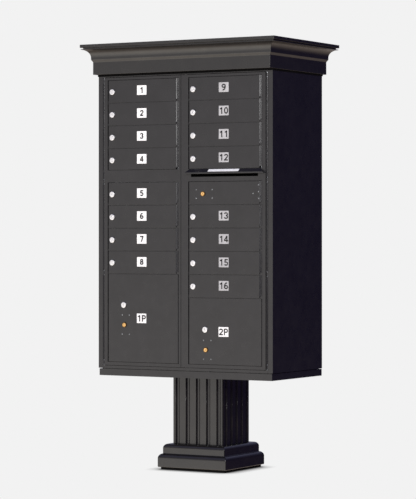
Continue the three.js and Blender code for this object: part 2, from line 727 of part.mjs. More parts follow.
function buildOutgoingDoor(cabinet) {
  const bottom = LOWER_TOP - PITCH;
  const leaf = barrelLeaf(0, PITCH, OUTGOING_LOCK_X, OUTGOING_LOCK_Z - bottom, LOCK_HOLE_RADIUS);
  place(cabinet, "outgoing_door", leaf, coated, [COLUMN_X, 0, bottom]);
  const lockPlace = [COLUMN_X + OUTGOING_LOCK_X, 0, OUTGOING_LOCK_Z];
  place(cabinet, "carrier_lock_outgoing", carrierLock(), brass, lockPlace);
}

function buildParcelDoors(cabinet) {
  const parcels = [
    { name: "1p", x: -COLUMN_X, top: LOWER_TOP - 4 * PITCH },
    { name: "2p", x: COLUMN_X, top: LOWER_TOP - 5 * PITCH },
  ];
  parcels.forEach(({ name, x, top }) => {
    const height = top - OPENING_BOTTOM;
    const customerZ = top - PARCEL_LOCK_DROP;
    const carrierZ = top - CARRIER_LOCK_DROP;
    place(cabinet, `parcel_door_${name}`, parcelLeaf(height), coated, [x, 0, OPENING_BOTTOM]);
    place(cabinet, `parcel_lock_${name}`, parcelLock(), nickel, [x + PARCEL_LOCK_X, 0, customerZ]);
    place(cabinet, `carrier_lock_${name}`, carrierLock(), brass, [x + PARCEL_LOCK_X + 2, 0, carrierZ]);
  });
}

// ---- the whole unit ----

const unit = new THREE.Group();
const cabinet = groupAt(unit, CABINET_Y, PEDESTAL_HEIGHT);
buildPedestal(unit);
buildShell(cabinet, unit);
buildMasterDoors(cabinet);
buildTenantDoors(cabinet);
buildOutgoingDoor(cabinet);
buildParcelDoors(cabinet);

export default unit;
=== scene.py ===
"""Cluster mailbox unit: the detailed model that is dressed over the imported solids.

Metres, +Z up, the doors face -Y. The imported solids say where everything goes.
"""
import json
import logging
import math
from dataclasses import dataclass, field
from enum import Enum
from functools import partial
from typing import Any, ClassVar, Iterable, Optional, Sequence

import bmesh
import bpy
from mathutils import Matrix, Vector

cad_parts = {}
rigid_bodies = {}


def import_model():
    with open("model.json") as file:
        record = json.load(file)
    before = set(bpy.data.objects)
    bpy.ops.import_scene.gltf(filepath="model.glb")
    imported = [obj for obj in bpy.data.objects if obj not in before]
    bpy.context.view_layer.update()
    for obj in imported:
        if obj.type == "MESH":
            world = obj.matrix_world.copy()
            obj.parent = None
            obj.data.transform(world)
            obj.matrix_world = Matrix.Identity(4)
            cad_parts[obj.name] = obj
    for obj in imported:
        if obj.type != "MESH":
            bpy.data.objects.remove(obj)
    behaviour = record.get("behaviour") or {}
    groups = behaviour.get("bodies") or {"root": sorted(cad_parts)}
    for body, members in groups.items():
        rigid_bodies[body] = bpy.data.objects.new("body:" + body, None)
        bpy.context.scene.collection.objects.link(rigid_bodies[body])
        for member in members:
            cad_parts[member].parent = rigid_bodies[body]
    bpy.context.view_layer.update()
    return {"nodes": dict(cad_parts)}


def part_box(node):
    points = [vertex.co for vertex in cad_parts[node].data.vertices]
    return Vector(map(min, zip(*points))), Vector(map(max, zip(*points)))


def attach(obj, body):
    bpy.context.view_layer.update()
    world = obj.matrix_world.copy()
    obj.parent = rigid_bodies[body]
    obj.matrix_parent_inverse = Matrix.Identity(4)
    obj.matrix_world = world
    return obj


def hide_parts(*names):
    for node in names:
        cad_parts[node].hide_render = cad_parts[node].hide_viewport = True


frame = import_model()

log = logging.getLogger("mailbox")

MM = 0.001
HAIR = 0.05 * MM  # keeps two faces from lying in one plane
Point2 = tuple[float, float]
Point3 = tuple[float, float, float]
Outline = list[Point2]
Socket = bpy.types.NodeSocket
Tree = bpy.types.NodeTree
Object = bpy.types.Object
Mesh = bpy.types.Mesh
Shape = bmesh.types.BMesh


# ---- options


class PlateTone(Enum):
    """The two stocks that number plates are cut from."""

    WHITE = "white"
    GREY = "grey"


class Facing(Enum):
    """The way a fastener's head looks, as Euler angles that turn +Z to it."""

    FRONT = (math.pi / 2, 0.0, 0.0)
    BACK = (-math.pi / 2, 0.0, 0.0)


# ---- node helper


def add_node(
    tree: Tree,
    kind: str,
    inputs: Optional[dict[Any, Any]] = None,
    **settings: Any,
) -> bpy.types.Node:
    """Adds one node with its settings, values and links.

    Args:
        tree: the node tree that the node joins.
        kind: the node's Blender type name.
        inputs: socket name or index to a value, or to the output that feeds it.
        **settings: properties of the node itself.

    Returns:
        The new node.
    """
    node = tree.nodes.new(kind)
    for name, value in settings.items():
        setattr(node, name, value)
    for key, value in (inputs or {}).items():
        if isinstance(value, Socket):
            tree.links.new(value, node.inputs[key])
        else:
            node.inputs[key].default_value = value
    return node


def linear(colour: str) -> tuple[float, float, float, float]:
    """Turns an sRGB hex colour into linear light.

    Args:
        colour: six hex digits.

    Returns:
        Red, green, blue and an alpha of one.
    """
    parts = [int(colour[i : i + 2], 16) / 255 for i in (0, 2, 4)]
    red, green, blue = (
        p / 12.92 if p <= 0.04045 else ((p + 0.055) / 1.055) ** 2.4 for p in parts
    )
    return red, green, blue, 1.0


# ---- finishes


@dataclass(frozen=True)
class Pattern:
    """A noise pattern: the width of one blotch, its finer octaves and its stretch."""

    size_mm: float
    detail: float = 2.0
    stretch: Point3 = (1.0, 1.0, 1.0)

    def add(self, tree: Tree) -> Socket:
        """Adds the pattern to a material.

        Args:
            tree: the material's node tree.

        Returns:
            The pattern's value, from 0 to 1.
        """
        place = add_node(tree, "ShaderNodeTexCoord").outputs["Object"]
        shrink = [1 / share for share in self.stretch]
        scaled = add_node(tree, "ShaderNodeMapping", {0: place, "Scale": shrink}).outputs[0]
        size = {"Scale": 1 / (self.size_mm * MM), "Detail": self.detail}
        return add_node(tree, "ShaderNodeTexNoise", {"Vector": scaled, **size}).outputs["Fac"]


def spread(tree: Tree, value: Socket, low: float, high: float) -> Socket:
    """Maps the middle of a pattern onto a range.

    Args:
        tree: the material's node tree.
        value: the pattern, from 0 to 1.
        low: result where the pattern is low.
        high: result where it is high.

    Returns:
        The mapped value.
    """
    middle = {"Value": value, "From Min": 0.3, "From Max": 0.7}
    fit = add_node(tree, "ShaderNodeMapRange", {**middle, "To Min": low, "To Max": high})
    return fit.outputs["Result"]


@dataclass(frozen=True)
class Finish:
    """What a surface is made of and how it was made, as tones, gloss and relief."""

    name: str
    slot: str = ""  # the record's material slot
    dark: str = "8d8f91"
    light: str = "a9abad"
    roughness: float = 0.38
    uneven: Point2 = (-0.05, 0.05)  # how far the roughness falls and rises
    tone: Pattern = Pattern(14.0, 3.0)
    stains: Optional[Pattern] = None  # averaged with the tone's pattern
    wear: Optional[Pattern] = None  # of the roughness; the tone's pattern if none
    grain: Optional[Pattern] = None  # of the relief; the tone's pattern if none
    grain_mm: float = 0.01
    constants: tuple[tuple[str, float], ...] = ()  # the shader's own values

    def material(self) -> bpy.types.Material:
        """Gives the finish's material, which is built the first time.

        Returns:
            The material, ready to assign.
        """
        if self.name in bpy.data.materials:
            return bpy.data.materials[self.name]
        made = bpy.data.materials.new(self.name)
        made.use_nodes = True
        tree = made.node_tree
        tree.nodes.clear()
        tone = clouds = self.tone.add(tree)
        if self.stains:
            both = {0: tone, 1: self.stains.add(tree)}
            total = add_node(tree, "ShaderNodeMath", both, operation="ADD").outputs[0]
            half = add_node(tree, "ShaderNodeMath", {0: total, 1: 0.5}, operation="MULTIPLY")
            clouds = half.outputs[0]
        ends = {6: linear(self.dark), 7: linear(self.light)}
        colour = add_node(
            tree, "ShaderNodeMix", {0: spread(tree, clouds, 0.0, 1.0), **ends}, data_type="RGBA"
        )
        wear = self.wear.add(tree) if self.wear else tone
        least, most = (self.roughness + change for change in self.uneven)
        grain = self.grain.add(tree) if self.grain else tone
        bump = add_node(
            tree, "ShaderNodeBump", {"Height": grain, "Distance": self.grain_mm * MM}
        )
        surface = add_node(
            tree,
            "ShaderNodeBsdfPrincipled",
            {
                "Base Color": colour.outputs[2],
                "Roughness": spread(tree, wear, least, most),
                "Normal": bump.outputs["Normal"],
                **dict(self.constants),
            },
        )
        add_node(tree, "ShaderNodeOutputMaterial", {"Surface": surface.outputs["BSDF"]})
        return made


@dataclass(frozen=True)
class PowderCoat(Finish):
    """Polyester powder coat, sprayed and baked: faint clouds of tone and orange peel."""

    dark: str = "100f12"
    light: str = "171619"
    roughness: float = 0.3
    uneven: Point2 = (-0.04, 0.05)
    tone: Pattern = Pattern(70.0, 3.0)
    wear: Optional[Pattern] = Pattern(28.0, 4.0)
    grain: Optional[Pattern] = Pattern(1.6, 1.0)  # twice the real peel, so that it shows
    grain_mm: float = 0.035
    constants: tuple[tuple[str, float], ...] = (("IOR", 1.5),)


@dataclass(frozen=True)
class PlatedMetal(Finish):
    """Metal turned and plated: a slightly uneven plate with small rubs from keys."""

    dark: str = "d0d0d2"
    light: str = "e9e9ea"
    roughness: float = 0.4
    uneven: Point2 = (-0.05, 0.07)
    tone: Pattern = Pattern(5.0, 3.0)
    grain: Optional[Pattern] = Pattern(0.9, 2.0)
    constants: tuple[tuple[str, float], ...] = (("Metallic", 1.0),)


@dataclass(frozen=True)
class RolledMetal(Finish):
    """Bare sheet or rod with the streaks that rolling or drawing leaves along it."""

    uneven: Point2 = (-0.06, 0.08)
    tone: Pattern = Pattern(2.2, 3.0, (1.0, 1.0, 14.0))
    stains: Optional[Pattern] = Pattern(60.0, 3.0)
    grain_mm: float = 0.02
    constants: tuple[tuple[str, float], ...] = (("Metallic", 1.0),)


@dataclass(frozen=True)
class EngravingLaminate(Finish):
    """Acrylic engraving laminate: an even matt face with the faintest grain."""

    roughness: float = 0.48
    grain: Optional[Pattern] = Pattern(0.7, 1.0)
    grain_mm: float = 0.008
    constants: tuple[tuple[str, float], ...] = (("IOR", 1.49),)


@dataclass(frozen=True)
class MouldedRubber(Finish):
    """Neoprene sheet: a dusty, uneven black with a cloth-like grain from the press."""

    dark: str = "070708"
    light: str = "0f0f10"
    roughness: float = 0.85
    uneven: Point2 = (-0.08, 0.08)
    tone: Pattern = Pattern(18.0, 4.0)
    grain: Optional[Pattern] = Pattern(1.5, 2.0)
    grain_mm: float = 0.06
    constants: tuple[tuple[str, float], ...] = (("Specular IOR Level", 0.06),)


# near-black bronze, cool in the shade; satin, so its folds catch thin soft lines of light
CABINET = PowderCoat("powder_coat_sprayed_cabinet", "cabinet_coating")
# the same coat on the small doors, even across each flat front
LEAVES = PowderCoat("powder_coat_sprayed_leaves", "leaf_coating")
# a little warmer and lighter, brownish where the cove turns to the light from below
CROWN = PowderCoat("powder_coat_sprayed_crown", "crown_coating", "121112", "181717")
# warmer and glossier, with bright streaks down the flutes and along the shoulders
PEDESTAL = PowderCoat(
    "powder_coat_sprayed_pedestal", "pedestal_coating", "121111", "1a1817", roughness=0.2
)
# dull pale grey sheet with upright streaks, seen when the doors are open
ALUMINIUM = RolledMetal("aluminium_mill_finish")
# darker grey with a tight shine along rods, pins and small heads
STEEL = RolledMetal(
    "steel_drawn_zinc_plated", "zinc_plated_steel", "74777a", "979a9d", roughness=0.34
)
# almost white discs with a soft shine
NICKEL = PlatedMetal("zinc_die_cast_bright_nickel", "lock_nickel")
# warm yellow discs, soft rather than mirror-like
BRASS = PlatedMetal("brass_turned_satin", "lock_brass", "c49b5e", "ecc387", roughness=0.38)
# a darker copy of the brass for the shell: painted shade for the dark ring round each brass disc
SHADED_BRASS = PlatedMetal(
    "brass_turned_painted_shade", "lock_brass", "5f4526", "85663c", roughness=0.45
)
# bright even white squares
WHITE_PLATE = EngravingLaminate("acrylic_laminate_white", "label_face", "dedede", "e9e9e9")
# light grey squares
GREY_PLATE = EngravingLaminate("acrylic_laminate_grey", "label_face", "9c9c9e", "aaaaac")
# flat black figures
INK = EngravingLaminate("acrylic_core_black", "label_ink", "0b0b0b", "151515", roughness=0.55)
# a dead black line that gives back no light; under the frieze and under the base its black is also
# painted shade for the shadow lines there
RUBBER = MouldedRubber("neoprene_pressed_sheet", "neoprene")


# ---- mesh helpers


def place_object(name: str, data: bpy.types.ID) -> Object:
    """Puts an object in the scene.

    Args:
        name: its name.
        data: its mesh, curve, light or camera.

    Returns:
        The object.
    """
    made = bpy.data.objects.new(name, data)
    bpy.context.scene.collection.objects.link(made)
    return made


def new_piece(name: str, mesh: Mesh, finish: Finish, body: str) -> Object:
    """Puts a mesh in the scene as a piece of the unit.

    Args:
        name: the piece's name.
        mesh: its mesh, in place.
        finish: its finish.
        body: the moving body that carries it.

    Returns:
        The piece.
    """
    mesh.name = name
    mesh.materials.clear()
    mesh.materials.append(finish.material())
    piece = place_object(name, mesh)
    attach(piece, body)
    log.info("%s: %d faces on %s", name, len(mesh.polygons), body)
    return piece


def mesh_of(shape: Shape, sharp_degrees: float = 35.0) -> Mesh:
    """Finishes a mesh: its faces look out and are smooth between sharp edges.

    Args:
        shape: the mesh being made, which is freed.
        sharp_degrees: edges that turn more than this stay sharp.

    Returns:
        The mesh.
    """
    bmesh.ops.remove_doubles(shape, verts=shape.verts, dist=1e-6)
    bmesh.ops.recalc_face_normals(shape, faces=shape.faces)
    for face in shape.faces:
        face.smooth = True
    limit = math.radians(sharp_degrees)
    for edge in shape.edges:
        edge.smooth = len(edge.link_faces) == 2 and edge.calc_face_angle(math.pi) < limit
    made = bpy.data.meshes.new("shape")
    shape.to_mesh(made)
    shape.free()
    return made


def absorb(shape: Shape, mesh: Mesh) -> None:
    """Moves a finished mesh into the mesh being made."""
    shape.from_mesh(mesh)
    bpy.data.meshes.remove(mesh)


def plain_mesh(holder: Object) -> Mesh:
    """Turns an object into a plain mesh and removes it.

    Args:
        holder: the object, with its curve or its modifiers.

    Returns:
        The mesh that it shows.
    """
    source = holder.data
    graph = bpy.context.evaluated_depsgraph_get()
    made = bpy.data.meshes.new_from_object(holder.evaluated_get(graph))
    bpy.data.objects.remove(holder)
    bpy.data.batch_remove([source])
    return made


def join_rings(
    shape: Shape, rings: list[list[bmesh.types.BMVert]], closed: bool = False
) -> None:
    """Joins each ring of points to the next with a band of faces.

    Args:
        shape: the mesh being made.
        rings: rings with equally many points.
        closed: the last ring joins the first.
    """
    for first, second in zip(rings, rings[1:] + (rings[:1] if closed else [])):
        for i in range(len(first)):
            j = (i + 1) % len(first)
            shape.faces.new((first[i], first[j], second[j], second[i]))


def add_block(shape: Shape, low: Sequence[float], high: Sequence[float]) -> None:
    """Adds a box between two corners.

    Args:
        shape: the mesh being made.
        low: lowest corner.
        high: highest corner.
    """
    size = Vector(high) - Vector(low)
    middle = (Vector(high) + Vector(low)) / 2
    place = Matrix.Translation(middle) @ Matrix.Diagonal(size.to_4d())
    bmesh.ops.create_cube(shape, size=1.0, matrix=place)


def add_lathe(
    shape: Shape, profile: Iterable[Point2], x: float, z: float,
    sides: int = 40, closed: bool = False,
) -> None:
    """Turns a profile about an axis along Y.

    Args:
        shape: the mesh being made.
        profile: radius and place along Y of each point.
        x: where the axis is.
        z: its height.
        sides: steps round the turn.
        closed: the last point joins the first, as for a ring.
    """
    turns = [2 * math.pi * i / sides for i in range(sides)]
    rings = [
        [
            shape.verts.new((x + radius * math.cos(t), along, z + radius * math.sin(t)))
            for t in turns
        ]
        for radius, along in profile
    ]
    join_rings(shape, rings, closed)


def add_prism(
    shape: Shape, outline: Outline, low: float, high: float, axis: str = "Z"
) -> None:
    """Raises an outline into a solid.

    Args:
        shape: the mesh being made.
        outline: points round a closed outline, in (x, y) or, along Y, in (x, z).
        low: where the solid starts along the axis.
        high: where it ends.
        axis: "Z" or "Y".
    """
    rings = [
        [shape.verts.new((a, b, level) if axis == "Z" else (a, level, b)) for a, b in outline]
        for level in (low, high)
    ]
    shape.faces.new(list(reversed(rings[0])))
    shape.faces.new(rings[1])
    join_rings(shape, rings)


def arc(centre: Point2, radius: Point2, start: float, end: float, steps: int) -> Outline:
    """Points along part of an ellipse.

    Args:
        centre: its middle.
        radius: its half axes.
        start: first angle in degrees.
        end: last angle in degrees.
        steps: how many steps.

    Returns:
        The points.
    """
    turns = [math.radians(start + (end - start) * i / steps) for i in range(steps + 1)]
    return [
        (centre[0] + radius[0] * math.cos(t), centre[1] + radius[1] * math.sin(t)) for t in turns
    ]


def rounded_rectangle(low: Point2, high: Point2, corner: float, steps: int = 5) -> Outline:
    """An outline of a rectangle with round corners, anticlockwise.

    Args:
        low: lowest corner.
        high: highest corner.
        corner: radius of its corners.
        steps: steps round each corner.

    Returns:
        The outline.
    """
    x0, y0, x1, y1 = low[0] + corner, low[1] + corner, high[0] - corner, high[1] - corner
    points: Outline = []
    for centre, start in (((x1, y1), 0), ((x0, y1), 90), ((x0, y0), 180), ((x1, y0), 270)):
        points += arc(centre, (corner, corner), start, start + 90, steps)
    return points


def cut_sheet(
    outline: Outline, holes: list[Outline], front: float, back: float, edge: float
) -> Mesh:
    """A flat sheet that stands upright, with holes and eased edges.

    Args:
        outline: its outline in (x, z), anticlockwise, measured to the eased edge's foot.
        holes: outlines of the holes.
        front: where its front face is along Y.
        back: where its back face is along Y.
        edge: radius of the eased edges.

    Returns:
        The sheet's mesh.
    """
    curve = bpy.data.curves.new("sheet", "CURVE")
    curve.dimensions = "2D"
    curve.fill_mode = "BOTH"
    curve.bevel_depth = edge
    curve.bevel_resolution = 2
    curve.extrude = abs(back - front) / 2 - edge
    for ring in [outline, *holes]:
        spline = curve.splines.new("POLY")
        spline.points.add(len(ring) - 1)
        for point, (x, z) in zip(spline.points, ring):
            point.co = (x, z, 0.0, 1.0)
        spline.use_cyclic_u = True
    made = plain_mesh(place_object("sheet", curve))
    upright = Matrix.Rotation(math.pi / 2, 4, "X")
    made.transform(Matrix.Translation((0, (front + back) / 2, 0)) @ upright)
    return made


def plan_of(node: str) -> tuple[Point2, Point3, float]:
    """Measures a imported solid.

    Args:
        node: its name.

    Returns:
        Its half sizes in plan, the middle of its underside, and its height.
    """
    low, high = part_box(node)
    half = ((high.x - low.x) / 2, (high.y - low.y) / 2)
    return half, ((high.x + low.x) / 2, (high.y + low.y) / 2, low.z), high.z - low.z


def sweep_frame(shape: Shape, profile: Outline, half: Point2, centre: Point3) -> None:
    """Sweeps a closed profile round a rectangle, with mitred corners.

    Args:
        shape: the mesh being made.
        profile: offset out from the rectangle and height of each point.
        half: half sizes of the rectangle.
        centre: the middle of the rectangle, at height zero of the profile.
    """
    (x, y, z), (wide, deep) = centre, half
    corners = ((1, 1), (-1, 1), (-1, -1), (1, -1))
    rings = [
        [
            shape.verts.new((x + sx * (wide + out), y + sy * (deep + out), z + up))
            for sx, sy in corners
        ]
        for out, up in profile
    ]
    join_rings(shape, rings, closed=True)


def ease_edges(
    piece: Object, width: float, segments: int = 2, degrees: float = 40.0,
    harden: bool = True,
) -> None:
    """Rounds a piece's sharp edges with a live bevel.

    Args:
        piece: the object.
        width: how wide the rounding is.
        segments: steps across it.
        degrees: edges that turn less than this are left.
        harden: the faces beside the rounding keep their flat shading.
    """
    bevel = piece.modifiers.new("eased edges", "BEVEL")
    bevel.width = width
    bevel.segments = segments
    bevel.limit_method = "ANGLE"
    bevel.angle_limit = math.radians(degrees)
    bevel.harden_normals = harden


def flatten_shading(piece: Object) -> None:
    """Keeps a piece's large faces evenly lit right up to their eased edges.

    Args:
        piece: the object.
    """
    even = piece.modifiers.new("even faces", "WEIGHTED_NORMAL")
    even.weight = 100
    even.keep_sharp = True


# ---- geometry node trees


class NodeTool:
    """A Geometry Nodes tree with named inputs, and the way to run it once."""

    KINDS: ClassVar[dict[type, str]] = {
        float: "NodeSocketFloat",
        int: "NodeSocketInt",
        tuple: "NodeSocketVector",
    }

    def __init__(self, name: str, inputs: dict[str, Any]) -> None:
        """Starts the tree.

        Args:
            name: the tree's name.
            inputs: each input's name, with its usual value.
        """
        self.tree = bpy.data.node_groups.new(name, "GeometryNodeTree")
        face = self.tree.interface
        face.new_socket("Geometry", in_out="INPUT", socket_type="NodeSocketGeometry")
        for label, usual in inputs.items():
            kind = self.KINDS[type(usual)]
            face.new_socket(label, in_out="INPUT", socket_type=kind).default_value = usual
        face.new_socket("Material", in_out="INPUT", socket_type="NodeSocketMaterial")
        face.new_socket("Geometry", in_out="OUTPUT", socket_type="NodeSocketGeometry")
        self.given = add_node(self.tree, "NodeGroupInput").outputs

    def node(self, kind: str, inputs: Optional[dict[Any, Any]] = None, **settings: Any) -> Socket:
        """Adds a node to the tree and returns its first output."""
        return add_node(self.tree, kind, inputs, **settings).outputs[0]

    def math(self, operation: str, *values: Any) -> Socket:
        """Adds one sum and returns its result."""
        return self.node("ShaderNodeMath", dict(enumerate(values)), operation=operation)

    def close(self, geometry: Socket) -> None:
        """Ends the tree: real geometry with its material.

        Args:
            geometry: what the tree has made.
        """
        real = self.node("GeometryNodeRealizeInstances", {"Geometry": geometry})
        coat = {"Geometry": real, "Material": self.given["Material"]}
        dressed = self.node("GeometryNodeSetMaterial", coat)
        add_node(self.tree, "NodeGroupOutput", {0: dressed})

    def run(
        self, finish: Finish, values: dict[str, Any], points: Iterable[Point3] = (),
        lines: Iterable[tuple[int, int]] = (),
    ) -> Mesh:
        """Runs the tree on a set of points or lines.

        Args:
            finish: what the result is made of.
            values: the inputs that differ from usual, by name.
            points: places that the tree works from.
            lines: pairs of points that are joined.

        Returns:
            The result as a plain mesh.
        """
        values = {**values, "Material": finish.material()}
        seed = bpy.data.meshes.new("seed")
        seed.from_pydata(list(points), list(lines), [])
        holder = place_object("seed", seed)
        modifier = holder.modifiers.new("nodes", "NODES")
        modifier.node_group = self.tree
        for item in self.tree.interface.items_tree:
            if item.in_out == "INPUT" and item.name in values:
                modifier[item.identifier] = values[item.name]
        shape = bmesh.new()
        absorb(shape, plain_mesh(holder))
        return mesh_of(shape)


class RivetTool(NodeTool):
    """Domed rivets with a flange and a pin end, at points or spaced along lines."""

    def __init__(self, along_lines: bool) -> None:
        """Builds the tree.

        Args:
            along_lines: heads are spaced along the given lines, not put on the points.
        """
        name = "rivets_along_lines" if along_lines else "rivets_at_points"
        usual = {"Radius": 3.0 * MM, "Height": 1.2 * MM, "Pitch": 50.0 * MM}
        super().__init__(name, {**usual, "Facing": (0.0, 0.0, 0.0)})
        seed = {0: self.given["Geometry"]}
        if along_lines:
            curve = self.node("GeometryNodeMeshToCurve", seed)
            pitch = {"Curve": curve, "Length": self.given["Pitch"]}
            places = self.node("GeometryNodeResampleCurve", pitch, mode="LENGTH")
        else:
            places = self.node("GeometryNodeMeshToPoints", seed)
        turn = self.node("FunctionNodeEulerToRotation", {0: self.given["Facing"]})
        head = {"Points": places, "Instance": self._head(), "Rotation": turn}
        self.close(self.node("GeometryNodeInstanceOnPoints", head))

    def _head(self) -> Socket:
        """One head on the origin, looking along +Z, with its underside just sunk.

        Returns:
            The head's geometry.
        """
        radius, height = self.given["Radius"], self.given["Height"]
        low = {"Radius": radius, "Depth": self.math("MULTIPLY", height, 0.5)}
        flange = self.node("GeometryNodeMeshCylinder", {"Vertices": 18, **low})
        round_size = {"Segments": 18, "Rings": 8, "Radius": self.math("MULTIPLY", radius, 0.86)}
        ball = self.node("GeometryNodeMeshUVSphere", round_size)
        flatter = self.math("DIVIDE", height, radius)
        scale = self.node("ShaderNodeCombineXYZ", {0: 1.0, 1: 1.0, 2: flatter})
        dome = self.node("GeometryNodeTransform", {0: ball, "Scale": scale})
        thin = {
            "Radius": self.math("MULTIPLY", radius, 0.3),
            "Depth": self.math("MULTIPLY", height, 1.96),
        }
        pin = self.node("GeometryNodeMeshCylinder", {"Vertices": 12, **thin})
        joined = add_node(self.tree, "GeometryNodeJoinGeometry")
        for part in (pin, dome, flange):
            self.tree.links.new(part, joined.inputs[0])
        return joined.outputs[0]


class SweepTool(NodeTool):
    """One section swept along each given line, closed at both ends."""

    def sweep(self, path: Socket, section: Socket) -> None:
        """Sweeps the section along the path and ends the tree.

        Args:
            path: the curve that is followed.
            section: the curve that is swept.
        """
        swept = {0: path, "Profile Curve": section, "Fill Caps": True}
        self.close(self.node("GeometryNodeCurveToMesh", swept))


class RodTool(SweepTool):
    """Round rods, one along each given line."""

    def __init__(self) -> None:
        """Builds the tree."""
        super().__init__("rods_along_lines", {"Radius": 1.5 * MM, "Sides": 20})
        path = self.node("GeometryNodeMeshToCurve", {0: self.given["Geometry"]})
        circle = {"Resolution": self.given["Sides"], "Radius": self.given["Radius"]}
        self.sweep(path, self.node("GeometryNodeCurvePrimitiveCircle", circle))


class StrokeTool(SweepTool):
    """Flat strokes of one width along lines that lie in the XY plane."""

    def __init__(self) -> None:
        """Builds the tree."""
        super().__init__("flat_strokes", {"Width": 3.2 * MM, "Thickness": 0.12 * MM})
        path = self.node("GeometryNodeMeshToCurve", {0: self.given["Geometry"]})
        level = self.node("GeometryNodeSetCurveNormal", {0: path}, mode="Z_UP")
        flat = {"Width": self.given["Width"], "Height": self.given["Thickness"]}
        self.sweep(level, self.node("GeometryNodeCurvePrimitiveQuadrilateral", flat))


class FluteTool(NodeTool):
    """The wall of a rectangular column with round flutes down each face."""

    def __init__(self) -> None:
        """Builds the tree."""
        super().__init__(
            "fluted_column",
            {
                "Half Width": 113 * MM,
                "Half Depth": 103 * MM,
                "Corner": 6 * MM,
                "Flutes": 5,
                "Margin": 21.5 * MM,
                "Flute Width": 17 * MM,
                "Flute Depth": 6 * MM,
                "Height": 260 * MM,
                "Step": 0.7 * MM,
            },
        )
        wide, deep = self.given["Half Width"], self.given["Half Depth"]
        size = {
            "Width": self.math("MULTIPLY", wide, 2.0),
            "Height": self.math("MULTIPLY", deep, 2.0),
        }
        box = self.node("GeometryNodeCurvePrimitiveQuadrilateral", size)
        corner = {"Curve": box, "Count": 6, "Radius": self.given["Corner"]}
        rounded = self.node("GeometryNodeFilletCurve", corner, mode="POLY")
        step = {"Curve": rounded, "Length": self.given["Step"]}
        fine = self.node("GeometryNodeResampleCurve", step, mode="LENGTH")
        place = self.node("GeometryNodeInputPosition")
        x, y, _ = add_node(self.tree, "ShaderNodeSeparateXYZ", {0: place}).outputs
        inward = {0: self._pull(x, wide, y, deep), 1: self._pull(y, deep, x, wide)}
        pull = self.node("ShaderNodeCombineXYZ", inward)
        fluted = self.node("GeometryNodeSetPosition", {0: fine, "Offset": pull})
        loop = self.node("GeometryNodeCurveToMesh", {0: fluted})
        rise = self.node("ShaderNodeCombineXYZ", {2: self.given["Height"]})
        raised = {"Mesh": loop, "Offset": rise}
        self.close(self.node("GeometryNodeExtrudeMesh", raised, mode="EDGES"))

    def _pull(self, out: Socket, half_out: Socket, along: Socket, half_along: Socket) -> Socket:
        """How far a point on one pair of faces is drawn in by the flutes.

        Args:
            out: the point's place across the pair of faces.
            half_out: where those faces are.
            along: its place along the face.
            half_along: half the face's width.

        Returns:
            The signed offset.
        """
        given, sums = self.given, ("MULTIPLY", "DIVIDE", "SUBTRACT", "ABSOLUTE")
        times, over, less, size = (partial(self.math, name) for name in sums)
        run = less(half_along, given["Margin"])
        spacing = over(times(run, 2.0), less(given["Flutes"], 1.0))
        step = over(self.math("ADD", along, run), spacing)
        away = less(step, self.math("ROUND", step))
        across = over(times(away, spacing), given["Flute Width"])
        square = self.math("POWER", size(times(across, 2.0)), 2.0)
        left = self.math("MAXIMUM", less(1.0, square), 0.0)
        depth = times(self.math("SQRT", left), given["Flute Depth"])
        on_face = self.math("GREATER_THAN", size(out), less(half_out, HAIR))
        return times(times(depth, on_face), times(self.math("SIGN", out), -1.0))


@dataclass
class Tools:
    """The node trees that the sub-assemblies share."""

    rivets: RivetTool = field(default_factory=lambda: RivetTool(along_lines=False))
    rivet_rows: RivetTool = field(default_factory=lambda: RivetTool(along_lines=True))
    rods: RodTool = field(default_factory=RodTool)
    strokes: StrokeTool = field(default_factory=StrokeTool)
    flutes: FluteTool = field(default_factory=FluteTool)


@dataclass
class SubAssembly:
    """What every sub-assembly works with."""

    tools: Tools

    def dress(self, nodes: Iterable[str], finish: Finish, edge: float = 0.5 * MM) -> None:
        """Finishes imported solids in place: merged facets, eased edges, real coating.

        Args:
            nodes: the solids' names.
            finish: what they are made of.
            edge: width of their eased edges, or zero.
        """
        for node in nodes:
            solid = frame["nodes"][node]
            for place in solid.material_slots:
                place.material = finish.material()
            if edge:
                weld = solid.modifiers.new("joined facets", "WELD")
                weld.merge_threshold = 1e-5
                flat = solid.modifiers.new("flat faces", "DECIMATE")
                flat.decimate_type = "DISSOLVE"
                flat.angle_limit = math.radians(2)
                ease_edges(solid, edge, degrees=35, harden=False)
            log.info("%s dressed in %s", node, finish.name)

    def add_rods(
        self, name: str, spans: Iterable[tuple[float, float, float, float]], radius: float,
        sides: int, finish: Finish, body: str,
    ) -> None:
        """Adds a piece that is made of upright rods.

        Args:
            name: the piece's name.
            spans: x, y, foot and top of each rod.
            radius: the rods' radius.
            sides: steps round each rod.
            finish: what they are made of.
            body: the moving body that carries them.
        """
        points = [(x, y, z) for x, y, foot, top in spans for z in (foot, top)]
        lines = [(i, i + 1) for i in range(0, len(points), 2)]
        size = {"Radius": radius, "Sides": sides}
        new_piece(name, self.tools.rods.run(finish, size, points, lines), finish, body)


# ---- crown


